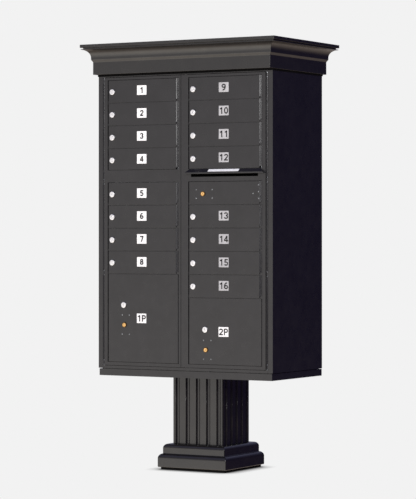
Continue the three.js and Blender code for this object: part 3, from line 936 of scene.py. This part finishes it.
@dataclass
class Crown(SubAssembly):
    """The hollow cap: plain frieze, canted fillet, cove, quirk and overhanging slab."""

    frieze: float = 48.5 * MM
    fillet: float = 6 * MM
    cant: float = 9.5 * MM
    cove_bottom: float = 65.5 * MM
    cove_top: float = 96.5 * MM
    cove_lip: float = 2 * MM
    reach: float = 35 * MM
    quirk: float = 28 * MM
    slab: float = 12 * MM
    overhang: float = 37.5 * MM
    sheet: float = 3 * MM
    rim: float = 60 * MM
    # the seal's black is painted shade: it stands in for the shadow line under the frieze
    seal_depth: float = 7.0 * MM
    seal_thickness: float = 2.6 * MM

    def build(self) -> None:
        """Builds the moulding, its deck and soffits, and the black seal under it, which is painted
        shade for the shadow line under the frieze.
        """
        (wide, deep), centre, height = plan_of("crown_cap")
        half = (wide - self.overhang, deep - self.overhang)
        shape = bmesh.new()
        sweep_frame(shape, self._profile(height), half, centre)
        x, y, foot = centre
        lap = self.rim - MM
        inner_x, inner_y, top = half[0] - lap, half[1] - lap, foot + height
        add_block(
            shape,
            (x - inner_x, y - inner_y, top - self.sheet),
            (x + inner_x, y + inner_y, top - HAIR),
        )
        self._soffits(shape, half, centre)
        piece = new_piece("crown_moulding", mesh_of(shape, 20), CROWN, "cabinet")
        ease_edges(piece, 0.9 * MM, segments=3, degrees=25)
        flatten_shading(piece)
        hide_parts("crown_cap")
        self._seal(foot)

    def _profile(self, height: float) -> Outline:
        """The section of the moulding, with the inside of its sheet.

        Args:
            height: of the whole cap.

        Returns:
            Offset out from the frieze and height of each point.
        """
        wall, drop = self.sheet, self.cove_top - self.cove_bottom
        corner = (self.reach, self.cove_bottom)
        run = self.fillet - self.reach
        lip = self.cove_top + self.cove_lip
        inside_cove = arc(corner, (run - wall, drop + wall), 0, 66, 12)
        return [
            (0.0, 0.0),
            (0.0, self.frieze),
            (self.fillet, self.frieze + self.cant),
            *arc(corner, (run, drop), 0, 90, 20),
            (self.reach, lip),
            (self.quirk, lip),
            (self.quirk, height - self.slab),
            (self.overhang, height - self.slab),
            (self.overhang, height),
            (-self.rim, height),
            (-self.rim, height - wall),
            (self.quirk - wall, height - wall),
            *reversed(inside_cove),
            (self.fillet - wall, self.frieze + self.cant + MM),
            (-wall, self.frieze + MM),
            (-wall, 0.0),
        ]

    def _soffits(self, shape: Shape, half: Point2, centre: Point3) -> None:
        """Adds the strips that close the cap below, in front of and behind the cabinet.

        Args:
            shape: the mesh being made.
            half: half sizes of the frieze in plan.
            centre: the middle of the cap's underside.
        """
        roof_low, roof_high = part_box("roof_panel")
        gap = 0.3 * MM
        reach, edge = (size - self.sheet / 2 for size in half)
        x, y, foot = centre
        for y0, y1 in ((y - edge, roof_low.y - gap), (roof_high.y + gap, y + edge)):
            add_block(
                shape, (x - reach, y0, foot + 2 * HAIR), (x + reach, y1, foot + self.sheet)
            )

    def _seal(self, top: float) -> None:
        """Adds the black rubber strip pressed between the frieze and the cabinet; its black is
        painted shade for the shadow line under the frieze.

        Args:
            top: the height of the frieze's underside.
        """
        low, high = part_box("roof_panel")
        left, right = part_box("side_panel_left")[0].x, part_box("side_panel_right")[1].x
        half = ((right - left) / 2, (high.y - low.y) / 2)
        middle = ((left + right) / 2, (low.y + high.y) / 2, top)
        shape = bmesh.new()
        depth, thick, sunk = self.seal_depth, self.seal_thickness, 2 * HAIR
        section = [(sunk, -depth), (thick, -depth), (thick, -sunk), (sunk, -sunk)]
        sweep_frame(shape, section, half, middle)
        # a black strip that is painted shade for the shadow line under the frieze
        piece = new_piece("crown_shadow_seal", mesh_of(shape, 20), RUBBER, "cabinet")
        ease_edges(piece, 0.3 * MM, segments=1)


# ---- pedestal


@dataclass
class Pedestal(SubAssembly):
    """The moulded base, the fluted cover and the post and pad inside them."""

    shoulder: float = 43.5 * MM
    tier_inset: float = 15 * MM
    tier_bottom: float = 61.5 * MM
    tier_top: float = 83.5 * MM
    top_inset: float = 31 * MM
    foot_inset: float = 42 * MM
    neck_inset: float = 56.5 * MM
    toe: float = 3 * MM
    wall: float = 5 * MM
    flute_depth: float = 6 * MM
    cover_sheet: float = 2.2 * MM

    def build(self) -> None:
        """Builds the base and the column, and dresses the hidden pieces."""
        self._base()
        self._column()
        # the pad is real neoprene, and its black line under the base is also painted shade for the
        # contact shadow there
        self.dress(["isolation_pad"], RUBBER, 0.8 * MM)
        self.dress(["pedestal_post"], ALUMINIUM)

    def _base(self) -> None:
        """Builds the two-tier base, each tier a vertical face under a round shoulder."""
        half, (x, y, foot), height = plan_of("base_moulding")
        top, toe, wall = foot + height, self.toe, self.wall
        tier, head = -self.tier_inset, -self.top_inset
        lower = (self.tier_inset, self.tier_bottom - self.shoulder)
        profile = [
            (-self.foot_inset, foot),
            (-toe, foot),
            *arc((-toe, foot + toe), (toe, toe), -90, 0, 4)[1:],
            *arc((tier, self.shoulder), lower, 0, 90, 14),
            *arc((head, self.tier_top), (tier - head, top - self.tier_top), 0, 90, 14),
            (-self.neck_inset, top),
            (-self.neck_inset, top - wall),
            (head, top - wall),
            (tier - wall, self.tier_top),
            (tier - wall, self.tier_bottom - wall),
            (-wall, self.shoulder),
            (-wall, foot + wall),
            (-self.foot_inset, foot + wall),
        ]
        shape = bmesh.new()
        sweep_frame(shape, profile, half, (x, y, 0.0))
        piece = new_piece("pedestal_base", mesh_of(shape, 40), PEDESTAL, "cabinet")
        ease_edges(piece, 3.2 * MM, segments=4, degrees=42)
        flatten_shading(piece)
        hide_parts("base_moulding")

    def _column(self) -> None:
        """Builds the fluted cover round the post."""
        (wide, deep), centre, height = plan_of("column_cover")
        size = {"Half Width": wide, "Half Depth": deep, "Height": height}
        made = self.tools.flutes.run(PEDESTAL, {**size, "Flute Depth": self.flute_depth})
        made.transform(Matrix.Translation(centre))
        piece = new_piece("pedestal_fluted_cover", made, PEDESTAL, "cabinet")
        ease_edges(piece, 0.8 * MM)
        thick = piece.modifiers.new("sheet thickness", "SOLIDIFY")
        thick.thickness = self.cover_sheet
        thick.offset = -1
        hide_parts("column_cover")


# ---- cabinet


def rod_axis(side: str) -> Point2:
    """Finds the axis of a master door's hinge rod.

    Args:
        side: "left" or "right".

    Returns:
        Its place in plan.
    """
    _, (x, y, _), _ = plan_of("hinge_rod_" + side)
    return x, y


@dataclass
class Cabinet(SubAssembly):
    """The shell, the racks inside it and the fasteners on its back."""

    rivet_radius: float = 3.2 * MM
    rivet_height: float = 1.1 * MM
    back_pitch: float = 92 * MM
    row_inset: float = 9 * MM
    row_foot: float = 14 * MM
    row_top: float = 42 * MM
    lug_heights: tuple[float, ...] = (51 * MM, 400 * MM, 755 * MM, 1149 * MM)
    lug_half: float = 6.9 * MM
    lug_radius: float = 4.12 * MM

    def build(self) -> None:
        """Dresses the shell and adds its rivets and hinge lugs."""
        sides = ("side_panel_left", "side_panel_right")
        self.dress(("floor_pan", *sides, "back_panel", "roof_panel"), CABINET, 0.7 * MM)
        self.dress(("centre_divider", "shelf_rack_left", "shelf_rack_right"), ALUMINIUM)
        self.dress(("hinge_rod_left", "hinge_rod_right"), STEEL, 0.0)
        self._back_rivets()
        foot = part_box("floor_pan")[0].z
        lugs = [
            (*rod_axis(side), foot + height - self.lug_half, foot + height + self.lug_half)
            for side in ("left", "right")
            for height in self.lug_heights
        ]
        self.add_rods("hinge_lugs", lugs, self.lug_radius, 28, CABINET, "cabinet")

    def _back_rivets(self) -> None:
        """Adds rivets where the back panel meets the turned edges of the sides."""
        low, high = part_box("back_panel")
        left, right = low.x + self.row_inset, high.x - self.row_inset
        foot, top = low.z + self.row_foot, high.z - self.row_top
        corners = [
            (x, high.y, z) for x, z in ((left, foot), (left, top), (right, top), (right, foot))
        ]
        size = {"Radius": self.rivet_radius, "Height": self.rivet_height}
        row = {**size, "Pitch": self.back_pitch, "Facing": Facing.BACK.value}
        ring = [(0, 1), (1, 2), (2, 3), (3, 0)]
        made = self.tools.rivet_rows.run(CABINET, row, corners, ring)
        new_piece("back_rivets", made, CABINET, "cabinet")


# ---- master doors


@dataclass
class MasterDoor(SubAssembly):
    """One of the two doors that carry the leaves, with its hinge and latch."""

    side: str = "left"
    knuckle_spans: tuple[Point2, ...] = (
        (62 * MM, 390 * MM),
        (410 * MM, 745 * MM),
        (765 * MM, 1140 * MM),
    )
    knuckle_radius: float = 4.12 * MM
    pin_radius: float = 1.35 * MM
    pin_below: float = 0.6 * MM
    pin_short: float = 0.4 * MM

    def build(self, leaves: Sequence[str]) -> None:
        """Dresses the door and adds its knuckles and the pins of its leaves.

        Args:
            leaves: the leaves with rolled barrels that hang on this door.
        """
        body = f"master_door_{self.side}"
        self.dress([body], CABINET)
        self.dress([f"master_latch_{self.side}"], STEEL, 0.4 * MM)
        foot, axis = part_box("floor_pan")[0].z, rod_axis(self.side)
        knuckles = [(*axis, foot + start, foot + end) for start, end in self.knuckle_spans]
        name = f"hinge_knuckles_{self.side}"
        self.add_rods(name, knuckles, self.knuckle_radius, 28, CABINET, body)
        pins = []
        for low, high in (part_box(leaf) for leaf in leaves):
            x, y = high.x - Leaf.barrel_radius, low.y + Leaf.barrel_set_back
            pins.append((x, y, low.z - self.pin_below, high.z - self.pin_short))
        self.add_rods(f"leaf_pins_{self.side}", pins, self.pin_radius, 14, STEEL, body)


@dataclass
class MailSlot(SubAssembly):
    """The hood over the outgoing slot and the blank strip on it."""

    strip_half: float = 67 * MM
    strip_middle: float = -2 * MM
    strip_low: float = 788 * MM
    strip_high: float = 797 * MM
    strip_thickness: float = 0.6 * MM
    strip_corner: float = 0.8 * MM
    lip: float = 6 * MM

    def build(self) -> None:
        """Dresses the hood, which slopes out from the door to its lip, and adds the strip."""
        self.dress(["mail_slot_hood"], CABINET, 0.6 * MM)
        low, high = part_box("mail_slot_hood")
        foot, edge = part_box("floor_pan")[0].z, 0.2 * MM
        z0, z1 = foot + self.strip_low, foot + self.strip_high
        rise, run = high.z - low.z - self.lip, high.y - low.y
        slope = math.atan2(run, rise)
        reach, length = self.strip_half - edge, (z1 - z0) / math.cos(slope)
        outline = rounded_rectangle((-reach, edge), (reach, length - edge), self.strip_corner)
        sheet = cut_sheet(outline, [], -self.strip_thickness, 0.0, edge)
        middle = (low.x + high.x) / 2 + self.strip_middle
        place = Matrix.Translation((middle, high.y - run * (high.z - z0) / rise, z0))
        sheet.transform(place @ Matrix.Rotation(-slope, 4, "X"))
        flatten_shading(new_piece("slot_strip", sheet, WHITE_PLATE, "master_door_right"))


# ---- leaves


GLYPH_WIDTH = 0.62  # of a figure, as a share of its height
GLYPH_GAP = 0.08  # between two figures, as a share of their height


def glyph(character: str) -> list[Outline]:
    """The strokes of one plain engraver's figure, one unit high.

    Args:
        character: a digit, or P.

    Returns:
        The middle line of each stroke.
    """
    if character == "9":
        return [[(GLYPH_WIDTH - x, 1 - y) for x, y in line] for line in glyph("6")]
    figures: dict[str, list[Outline]] = {
        "0": [arc((0.31, 0.5), (0.22, 0.415), 0, 360, 36)],
        "1": [[(0.38, 0.0), (0.38, 1.0)], [(0.38, 0.90), (0.13, 0.72)]],
        "2": [
            arc((0.31, 0.69), (0.215, 0.225), 172, -38, 24) + [(0.10, 0.085)],
            [(0.02, 0.085), (0.58, 0.085)],
        ],
        "3": [
            arc((0.29, 0.71), (0.21, 0.205), 168, -90, 24),
            arc((0.29, 0.295), (0.23, 0.21), 90, -168, 24),
        ],
        "4": [
            [(0.43, 0.0), (0.43, 1.0)],
            [(0.43, 0.93), (0.06, 0.30)],
            [(0.0, 0.27), (0.61, 0.27)],
        ],
        "5": [
            [(0.55, 0.915), (0.11, 0.915)],
            [(0.18, 0.915), (0.13, 0.47)],
            arc((0.30, 0.32), (0.225, 0.235), 138, -152, 26),
        ],
        "6": [
            arc((0.31, 0.305), (0.22, 0.22), 0, 360, 30),
            arc((0.38, 0.43), (0.29, 0.485), 190, 72, 20),
        ],
        "7": [[(0.03, 0.915), (0.60, 0.915)], [(0.54, 0.90), (0.24, 0.0)]],
        "8": [
            arc((0.31, 0.715), (0.185, 0.20), 0, 360, 28),
            arc((0.31, 0.29), (0.22, 0.205), 0, 360, 28),
        ],
        "P": [
            [(0.10, 0.0), (0.10, 1.0)],
            [(0.10, 0.915)] + arc((0.33, 0.69), (0.21, 0.225), 90, -90, 18) + [(0.10, 0.465)],
        ],
    }
    return figures[character]


@dataclass
class NumberPlate(SubAssembly):
    """A small plate with its number, fixed on a leaf."""

    text: str = "1"
    tone: PlateTone = PlateTone.WHITE
    figure_height: float = 25 * MM
    width: float = 43 * MM
    height: float = 37 * MM
    thickness: float = 0.9 * MM
    corner: float = 1.2 * MM
    edge: float = 0.25 * MM
    stroke: float = 5.0 * MM
    stretch: float = 1.2
    glue: float = 0.02 * MM
    ink_lift: float = 0.03 * MM

    def build(self, leaf: str, x: float, z: float) -> None:
        """Builds the plate and its figures.

        Args:
            leaf: the leaf that carries it, which is also the body's name.
            x: where the middle of the plate is.
            z: its height.
        """
        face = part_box(leaf)[0].y
        half_x, half_z = self.width / 2 - self.edge, self.height / 2 - self.edge
        outline = rounded_rectangle((x - half_x, z - half_z), (x + half_x, z + half_z), self.corner)
        finish = WHITE_PLATE if self.tone is PlateTone.WHITE else GREY_PLATE
        front = face - self.thickness
        sheet = cut_sheet(outline, [], front, face - self.glue, self.edge)
        tag = leaf.rpartition("_")[2]
        flatten_shading(new_piece(f"number_plate_{tag}", sheet, finish, leaf))
        new_piece(f"number_{tag}", self._figures(x, front, z), INK, leaf)

    def _figures(self, x: float, front: float, z: float) -> Mesh:
        """Builds the figures as thin strokes on the face of the plate.

        Args:
            x: where the middle of the plate is.
            front: where its face is along Y.
            z: its height.

        Returns:
            The figures' mesh.
        """
        across = self.figure_height * self.stretch
        advance = (GLYPH_WIDTH + GLYPH_GAP) * across
        width = advance * (len(self.text) - 1) + GLYPH_WIDTH * across
        points: list[Point3] = []
        lines: list[tuple[int, int]] = []
        for place, character in enumerate(self.text):
            left = place * advance - width / 2
            for stroke in glyph(character):
                first = len(points)
                points += [
                    (left + px * across, (py - 0.5) * self.figure_height, 0.0)
                    for px, py in stroke
                ]
                lines += [(i, i + 1) for i in range(first, len(points) - 1)]
        made = self.tools.strokes.run(INK, {"Width": self.stroke}, points, lines)
        upright = Matrix.Rotation(math.pi / 2, 4, "X")
        made.transform(Matrix.Translation((x, front - self.ink_lift, z)) @ upright)
        return made


def cam_up(lock: str) -> bool:
    """True where the lock's cam points up at rest."""
    return lock.startswith("parcel_lock")


def lock_axis(lock: str, radius: float) -> Point2:
    """Finds the axis of a lock, whose cam makes it longer above or below.

    Args:
        lock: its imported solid.
        radius: of its round face.

    Returns:
        The axis' place in (x, z).
    """
    low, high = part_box(lock)
    return (low.x + high.x) / 2, low.z + radius if cam_up(lock) else high.z - radius


@dataclass
class CamLock(SubAssembly):
    """A cam lock: the shell fixed in the leaf, and the plug and cam that turn in it."""

    shell: Finish = NICKEL
    plug: Finish = NICKEL
    bezel: float = 11.0 * MM
    face: float = 6.6 * MM
    key_half: Point2 = (0.9 * MM, 4.2 * MM)
    key_corner: float = 0.6 * MM
    cam_half: float = 6 * MM
    cam_thickness: float = 3 * MM
    edge: float = 0.25 * MM
    rim: float = 0.9 * MM
    chamfer: float = 0.3 * MM
    recess: float = 3.0 * MM
    barrel: float = 5.6 * MM
    plug_depth: float = 2.9 * MM
    play: float = 0.15 * MM  # between the plug and the shell
    clearance: float = 5.9 * MM
    neck: float = 7.3 * MM
    neck_length: float = 10.5 * MM
    nut: float = 10.6 * MM
    nut_span: Point2 = (2.45 * MM, 5.2 * MM)

    def build(self, node: str, leaf: str) -> None:
        """Builds the fixed shell, and the plug with its cam.

        Args:
            node: the lock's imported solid, which is also its body's name.
            leaf: the leaf that the shell is fixed in.
        """
        axis = lock_axis(node, self.bezel)
        front, leaf_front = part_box(node)[0].y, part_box(leaf)[0].y
        shell = mesh_of(self._shell(axis, front, leaf_front), 30)
        new_piece(f"{node}_shell", shell, self.shell, leaf)
        piece = new_piece(f"{node}_plug", mesh_of(self._plug(node, axis), 30), self.plug, node)
        flatten_shading(piece)
        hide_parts(node)

    def _shell(self, axis: Point2, front: float, leaf_front: float) -> Shape:
        """Builds the shell with its rounded rim, threaded neck and nut.

        Args:
            axis: the lock's axis in (x, z).
            front: where its face is along Y.
            leaf_front: where the leaf's face is along Y.

        Returns:
            The mesh being made.
        """
        seat, bore = leaf_front - HAIR, self.face + self.play
        end, cut, rim = leaf_front + self.neck_length, self.chamfer, self.rim
        profile = [
            (self.bezel - cut, seat),
            (self.bezel, seat - cut),
            *arc((self.bezel - rim, front + rim), (rim, rim), 0, -90, 5),
            (bore + cut, front),
            (bore, front + cut),
            (bore, front + self.recess),
            (self.clearance, front + self.recess),
            (self.clearance, end),
            (self.neck, end),
            (self.neck, seat),
        ]
        shape = bmesh.new()
        add_lathe(shape, profile, *axis, 48, closed=True)
        nut = arc(axis, (self.nut, self.nut), 0, 300, 5)
        add_prism(shape, nut, *(leaf_front + place for place in self.nut_span), "Y")
        return shape

    def _plug(self, node: str, axis: Point2) -> Shape:
        """Builds the plug with its keyway, and the cam behind it.

        Args:
            node: the lock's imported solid.
            axis: its axis in (x, z).

        Returns:
            The mesh being made.
        """
        low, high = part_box(node)
        x, z = axis
        edge, radius = self.edge, self.face - self.edge
        wide, tall = (half + edge for half in self.key_half)
        key = rounded_rectangle((x - wide, z - tall), (x + wide, z + tall), self.key_corner)
        disc = arc(axis, (radius, radius), 0, 352.5, 47)
        shape = bmesh.new()
        face_span = (low.y + self.play, low.y + self.plug_depth)
        absorb(shape, cut_sheet(disc, [key], *face_span, edge))
        cam = self.cam_half - edge
        foot = z - cam if cam_up(node) else low.z + edge
        top = high.z - edge if cam_up(node) else z + cam
        outline = rounded_rectangle((x - cam, foot), (x + cam, top), cam * 0.98, 8)
        absorb(shape, cut_sheet(outline, [], high.y - self.cam_thickness, high.y, edge))
        # the barrel runs into the face, and twice as far into the cam
        start, end = face_span[1] - HAIR, high.y - self.cam_thickness + 2 * HAIR
        barrel = [(0.0, start), (self.barrel, start), (self.barrel, end), (0.0, end)]
        add_lathe(shape, barrel, x, z, 28)
        return shape


@dataclass
class Leaf(SubAssembly):
    """A small door: a sheet with turned folds and a barrel rolled round its hinge pin."""

    barrel_radius: ClassVar[float] = 4 * MM
    barrel_set_back: ClassVar[float] = 4.4 * MM
    barrel_bore: float = 1.6 * MM
    barrel_turn: Point2 = (-157.5, 151.0)
    sheet: float = 2.4 * MM
    to_barrel: float = 7.1 * MM
    barrel_lift: float = 6.7 * MM
    edge: float = 0.45 * MM
    corner: float = 0.6 * MM
    hole: float = 7.7 * MM
    tube_at: Point2 = (1.5 * MM, 4.2 * MM)
    tube_radius: float = 2.55 * MM
    tube_inset: float = 10.7 * MM
    fold: Point3 = (2 * MM, 8 * MM, 6.9 * MM)  # in from each side, and how deep
    fold_sheet: float = 2 * MM
    fold_lap: float = 0.5 * MM
    folds: Point2 = (8.7 * MM, 4 * MM)  # of a small door, up from its foot and down its top
    parcel_folds: Point2 = (10.7 * MM, 12.7 * MM)
    web: Point3 = (0.8 * MM, 0.25 * MM, 1.0 * MM)  # its lap, set-back and run to the barrel

    def build(self, node: str, locks: Sequence[str]) -> None:
        """Builds the leaf.

        Args:
            node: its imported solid, which is also its body's name.
            locks: the locks that pass through it.
        """
        low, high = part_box(node)
        barrelled = not node.startswith("parcel")
        right = high.x - self.barrel_radius - self.to_barrel if barrelled else high.x
        edge, ring = self.edge, self.hole + self.edge
        holes = [
            arc(lock_axis(lock, plan_of(lock)[0][0]), (ring, ring), 0, 350, 35) for lock in locks
        ]
        outline = rounded_rectangle(
            (low.x + edge, low.z + edge), (right - edge, high.z - edge), self.corner, 3
        )
        shape = bmesh.new()
        absorb(shape, cut_sheet(outline, holes, low.y, low.y + self.sheet, edge))
        self._hinge(shape, node, right)
        lift, drop = self.folds if barrelled else self.parcel_folds
        left_gap, right_gap, depth = self.fold
        x0, x1, back = low.x + left_gap, right - right_gap, low.y + self.sheet
        for z in (low.z + lift, high.z - drop):
            top = z + self.fold_sheet
            add_block(shape, (x0, back - self.fold_lap, z), (x1, back + depth, top))
        piece = new_piece(node + "_leaf", mesh_of(shape, 28), LEAVES, node)
        flatten_shading(piece)
        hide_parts(node)

    def _hinge(self, shape: Shape, node: str, right: float) -> None:
        """Adds the barrel rolled from the sheet's edge, or a parcel door's hidden tube.

        Args:
            shape: the mesh being made.
            node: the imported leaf.
            right: where the flat sheet ends.
        """
        low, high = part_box(node)
        if node.startswith("parcel"):
            axis = (high.x - self.tube_at[0], low.y + self.tube_at[1])
            tube = arc(axis, (self.tube_radius,) * 2, 0, 345, 23)
            add_prism(shape, tube, low.z + self.tube_inset, high.z - self.tube_inset)
            return
        axis = (high.x - self.barrel_radius, low.y + self.barrel_set_back)
        start, end = self.barrel_turn
        lap, set_back, run = self.web
        root, back = right - lap, low.y + self.sheet
        outline = [
            (root, low.y + set_back),
            *arc(axis, (self.barrel_radius,) * 2, start, end, 40),
            *arc(axis, (self.barrel_bore,) * 2, end, start, 24),
            (right + run, back),
            (root, back),
        ]
        add_prism(shape, outline, low.z + self.barrel_lift, high.z)


@dataclass
class LeafSet(SubAssembly):
    """All the leaves with their plates, locks and studs."""

    plate_from_lock: Point2 = (133.9 * MM, 4 * MM)
    stud_radius: float = 2.5 * MM
    stud_height: float = 1.2 * MM

    def build(self) -> None:
        """Builds every leaf of the unit."""
        for number in range(1, 17):
            self._tenant(number)
        Leaf(self.tools).build("outgoing_door", ["carrier_lock_outgoing"])
        self._brass_lock("carrier_lock_outgoing", "outgoing_door")
        self._parcel("1p", -188 * MM, 225 * MM)
        self._parcel("2p", 177 * MM, 180 * MM)
        self._studs()

    def _tenant(self, number: int) -> None:
        """Builds one tenant's leaf with its lock and number plate.

        Args:
            number: the tenant's number, from 1 to 16.
        """
        node, lock = f"tenant_door_{number:02d}", f"tenant_lock_{number:02d}"
        Leaf(self.tools).build(node, [lock])
        CamLock(self.tools).build(lock, node)
        x, z = lock_axis(lock, CamLock.bezel)
        tone, tall = (PlateTone.WHITE, 22 * MM) if number <= 8 else (PlateTone.GREY, 25 * MM)
        across, up = self.plate_from_lock
        NumberPlate(self.tools, str(number), tone, tall).build(node, x + across, z + up)

    def _parcel(self, name: str, x: float, up: float) -> None:
        """Builds one parcel door with its two locks and number plate.

        Args:
            name: "1p" or "2p".
            x: where the middle of the plate is.
            up: its height over the cabinet's foot.
        """
        node = "parcel_door_" + name
        customer, carrier = "parcel_lock_" + name, "carrier_lock_" + name
        Leaf(self.tools).build(node, [customer, carrier])
        CamLock(self.tools).build(customer, node)
        self._brass_lock(carrier, node)
        NumberPlate(self.tools, name.upper()).build(node, x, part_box("floor_pan")[0].z + up)

    def _brass_lock(self, node: str, leaf: str) -> None:
        """Builds a carrier's lock: a brass plug in a darker brass shell, whose darkness is painted
        shade for the ring round the plug.
        """
        sizes = {"bezel": 9.5 * MM, "face": 6.9 * MM, "key_half": (0.8 * MM, 3.6 * MM)}
        # the shell's darker brass is painted shade for the dark ring round the plug
        CamLock(self.tools, SHADED_BRASS, BRASS, **sizes).build(node, leaf)

    def _studs(self) -> None:
        """Adds studs round the carrier's locks and rivets of the outgoing door's bracket."""
        # x, and height over the cabinet's foot, in millimetres
        groups = {
            "parcel_door_1p": [(x, z) for x in (-276.6, -244.0) for z in (236.5, 162.5)],
            "parcel_door_2p": [(x, z) for x in (89.4, 122.0) for z in (146.5, 75.0)],
            "outgoing_door": [
                (57.0, 720.0), (127.0, 687.5), (57.0, 687.5), (127.0, 720.0),
                (305.0, 703.5), (328.5, 736.0), (328.5, 710.0), (328.5, 685.0),
            ],
        }
        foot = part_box("floor_pan")[0].z
        size = {"Radius": self.stud_radius, "Height": self.stud_height}
        for leaf, spots in groups.items():
            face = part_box(leaf)[0].y
            places = [(x * MM, face, foot + z * MM) for x, z in spots]
            made = self.tools.rivets.run(STEEL, {**size, "Facing": Facing.FRONT.value}, places)
            new_piece(leaf + "_studs", made, STEEL, leaf)


# ---- studio


@dataclass
class Studio:
    """The pale room, its lights and the camera."""

    pale: str = "f2f2f2"
    room_radius: float = 45.0
    floor_radius: float = 44.0
    camera_at: Point3 = (4.617, -7.946, 0.911)
    camera_turn: float = 30.2
    lens: float = 170.04
    sensor: float = 36
    far: float = 100
    shift: Point2 = (0.0, -0.0297)
    light_aim: Point3 = (0, 0, 1.2)

    def build(self) -> None:
        """Builds the room, the lights and the camera."""
        scene = bpy.context.scene
        scene.view_settings.view_transform = "Standard"
        self._room()
        self._world()
        self._light("soft_box", (1.1, -4.9, 2.8), (1.2, 2.2), 110, (1.0, 0.99, 0.97))
        self._light("edge_strip", (2.35, -3.5, 2.3), (0.8, 1.8), 80, (1.0, 0.99, 0.98))
        lens = bpy.data.cameras.new("camera")
        lens.lens = self.lens
        lens.sensor_width = self.sensor
        lens.shift_x, lens.shift_y = self.shift
        lens.clip_end = self.far
        camera = place_object("camera", lens)
        camera.location = self.camera_at
        camera.rotation_euler = (math.pi / 2, 0, math.radians(self.camera_turn))
        scene.camera = camera

    def _seen_only(self, name: str, shape: Shape, painted_contact_shadow: bool) -> None:
        """Adds a stage piece of pale paper that the camera sees but that lights nothing.

        Args:
            name: the piece's name.
            shape: its mesh being made.
            painted_contact_shadow: a painted contact shadow darkens it softly where something
                stands on it.
        """
        mesh = mesh_of(shape)
        mesh.materials.append(self._paper(name + "_paper", painted_contact_shadow))
        piece = place_object(name, mesh)
        for ray in ("diffuse", "glossy", "transmission", "volume_scatter", "shadow"):
            setattr(piece, "visible_" + ray, False)

    def _paper(self, name: str, painted_contact_shadow: bool) -> bpy.types.Material:
        """Builds the pale paper of the room, which can carry a painted contact shadow.

        Args:
            name: the material's name.
            painted_contact_shadow: a painted contact shadow darkens it softly where something
                stands on it.

        Returns:
            The material.
        """
        made = bpy.data.materials.new(name)
        made.use_nodes = True
        tree = made.node_tree
        tree.nodes.clear()
        glow = add_node(tree, "ShaderNodeEmission", {"Color": linear(self.pale)})
        add_node(tree, "ShaderNodeOutputMaterial", {"Surface": glow.outputs[0]})
        if painted_contact_shadow:
            # painted contact shadow: the paper's glow falls where nearby geometry occludes it
            near = add_node(tree, "ShaderNodeAmbientOcclusion", {"Distance": 0.06}, samples=16)
            reach = {"Value": near.outputs["AO"], "From Min": 0.40, "To Min": 0.10}
            soft = add_node(tree, "ShaderNodeMapRange", reach)
            tree.links.new(soft.outputs["Result"], glow.inputs["Strength"])
        return made

    def _room(self) -> None:
        """Builds a round floor inside a great pale ball."""
        ball, disc = bmesh.new(), bmesh.new()
        bmesh.ops.create_icosphere(ball, subdivisions=4, radius=self.room_radius)
        self._seen_only("backdrop", ball, False)
        bmesh.ops.create_circle(disc, cap_ends=True, segments=64, radius=self.floor_radius)
        self._seen_only("floor", disc, True)

    def _world(self) -> None:
        """Builds soft light from below and from the front left, and dim blue elsewhere."""
        world = bpy.data.worlds.new("studio_light")
        bpy.context.scene.world = world
        world.use_nodes = True
        tree = world.node_tree
        tree.nodes.clear()
        way = add_node(tree, "ShaderNodeTexCoord").outputs["Generated"]
        total: Optional[Socket] = None
        lobes = (
            # direction, colour, strength, and where it starts and is full
            ((0.0, 0.0, 1.0), "332c52", 1.0, -2.0, -1.0),
            ((0.0, 0.0, 1.0), "8c90b4", 0.9, 0.15, 0.7),
            ((0.0, 0.0, -1.0), "e6d2b6", 0.95, 0.08, 0.6),
            ((-0.50, -0.86, 0.0), "e6e6e8", 0.28, 0.45, 0.95),
            ((-0.45, -0.77, -0.45), "ebe7de", 2.25, 0.70, 1.0),
            ((-0.75, 0.65, 0.1), "b9bcc6", 0.35, 0.3, 0.95),
        )
        vector = "ShaderNodeVectorMath"
        for toward, colour, strength, start, full in lobes:
            both = {0: way, 1: Vector(toward).normalized()}
            facing = add_node(tree, vector, both, operation="DOT_PRODUCT").outputs["Value"]
            reach = {"Value": facing, "From Min": start, "From Max": full, "To Max": strength}
            level = add_node(
                tree, "ShaderNodeMapRange", reach, interpolation_type="SMOOTHSTEP"
            )
            shade = {0: linear(colour)[:3], "Scale": level.outputs["Result"]}
            tint = add_node(tree, vector, shade, operation="SCALE").outputs[0]
            if total:
                tint = add_node(tree, vector, {0: total, 1: tint}, operation="ADD").outputs[0]
            total = tint
        sky = add_node(tree, "ShaderNodeBackground", {"Color": total})
        add_node(tree, "ShaderNodeOutputWorld", {"Surface": sky.outputs[0]})

    def _light(
        self, name: str, place: Point3, size: Point2, power: float, colour: Point3
    ) -> None:
        """Adds one soft light that looks at the upper half of the unit.

        Args:
            name: its name.
            place: where it hangs.
            size: width and height.
            power: watts.
            colour: linear colour.
        """
        light = bpy.data.lights.new(name, "AREA")
        light.shape = "RECTANGLE"
        light.size, light.size_y = size
        light.energy = power
        light.color = colour
        holder = place_object(name, light)
        holder.location = place
        toward = Vector(self.light_aim) - holder.location
        holder.rotation_euler = toward.to_track_quat("-Z", "Y").to_euler()


def main() -> None:
    """Builds the whole unit and its studio."""
    logging.basicConfig(level=logging.INFO, format="%(name)s: %(message)s")
    Studio().build()
    tools = Tools()
    Crown(tools).build()
    Pedestal(tools).build()
    Cabinet(tools).build()
    tenants = [f"tenant_door_{number:02d}" for number in range(1, 17)]
    MasterDoor(tools, "left").build(tenants[:8])
    MasterDoor(tools, "right").build(tenants[8:] + ["outgoing_door"])
    MailSlot(tools).build()
    LeafSet(tools).build()


if __name__ == "__main__":
    main()
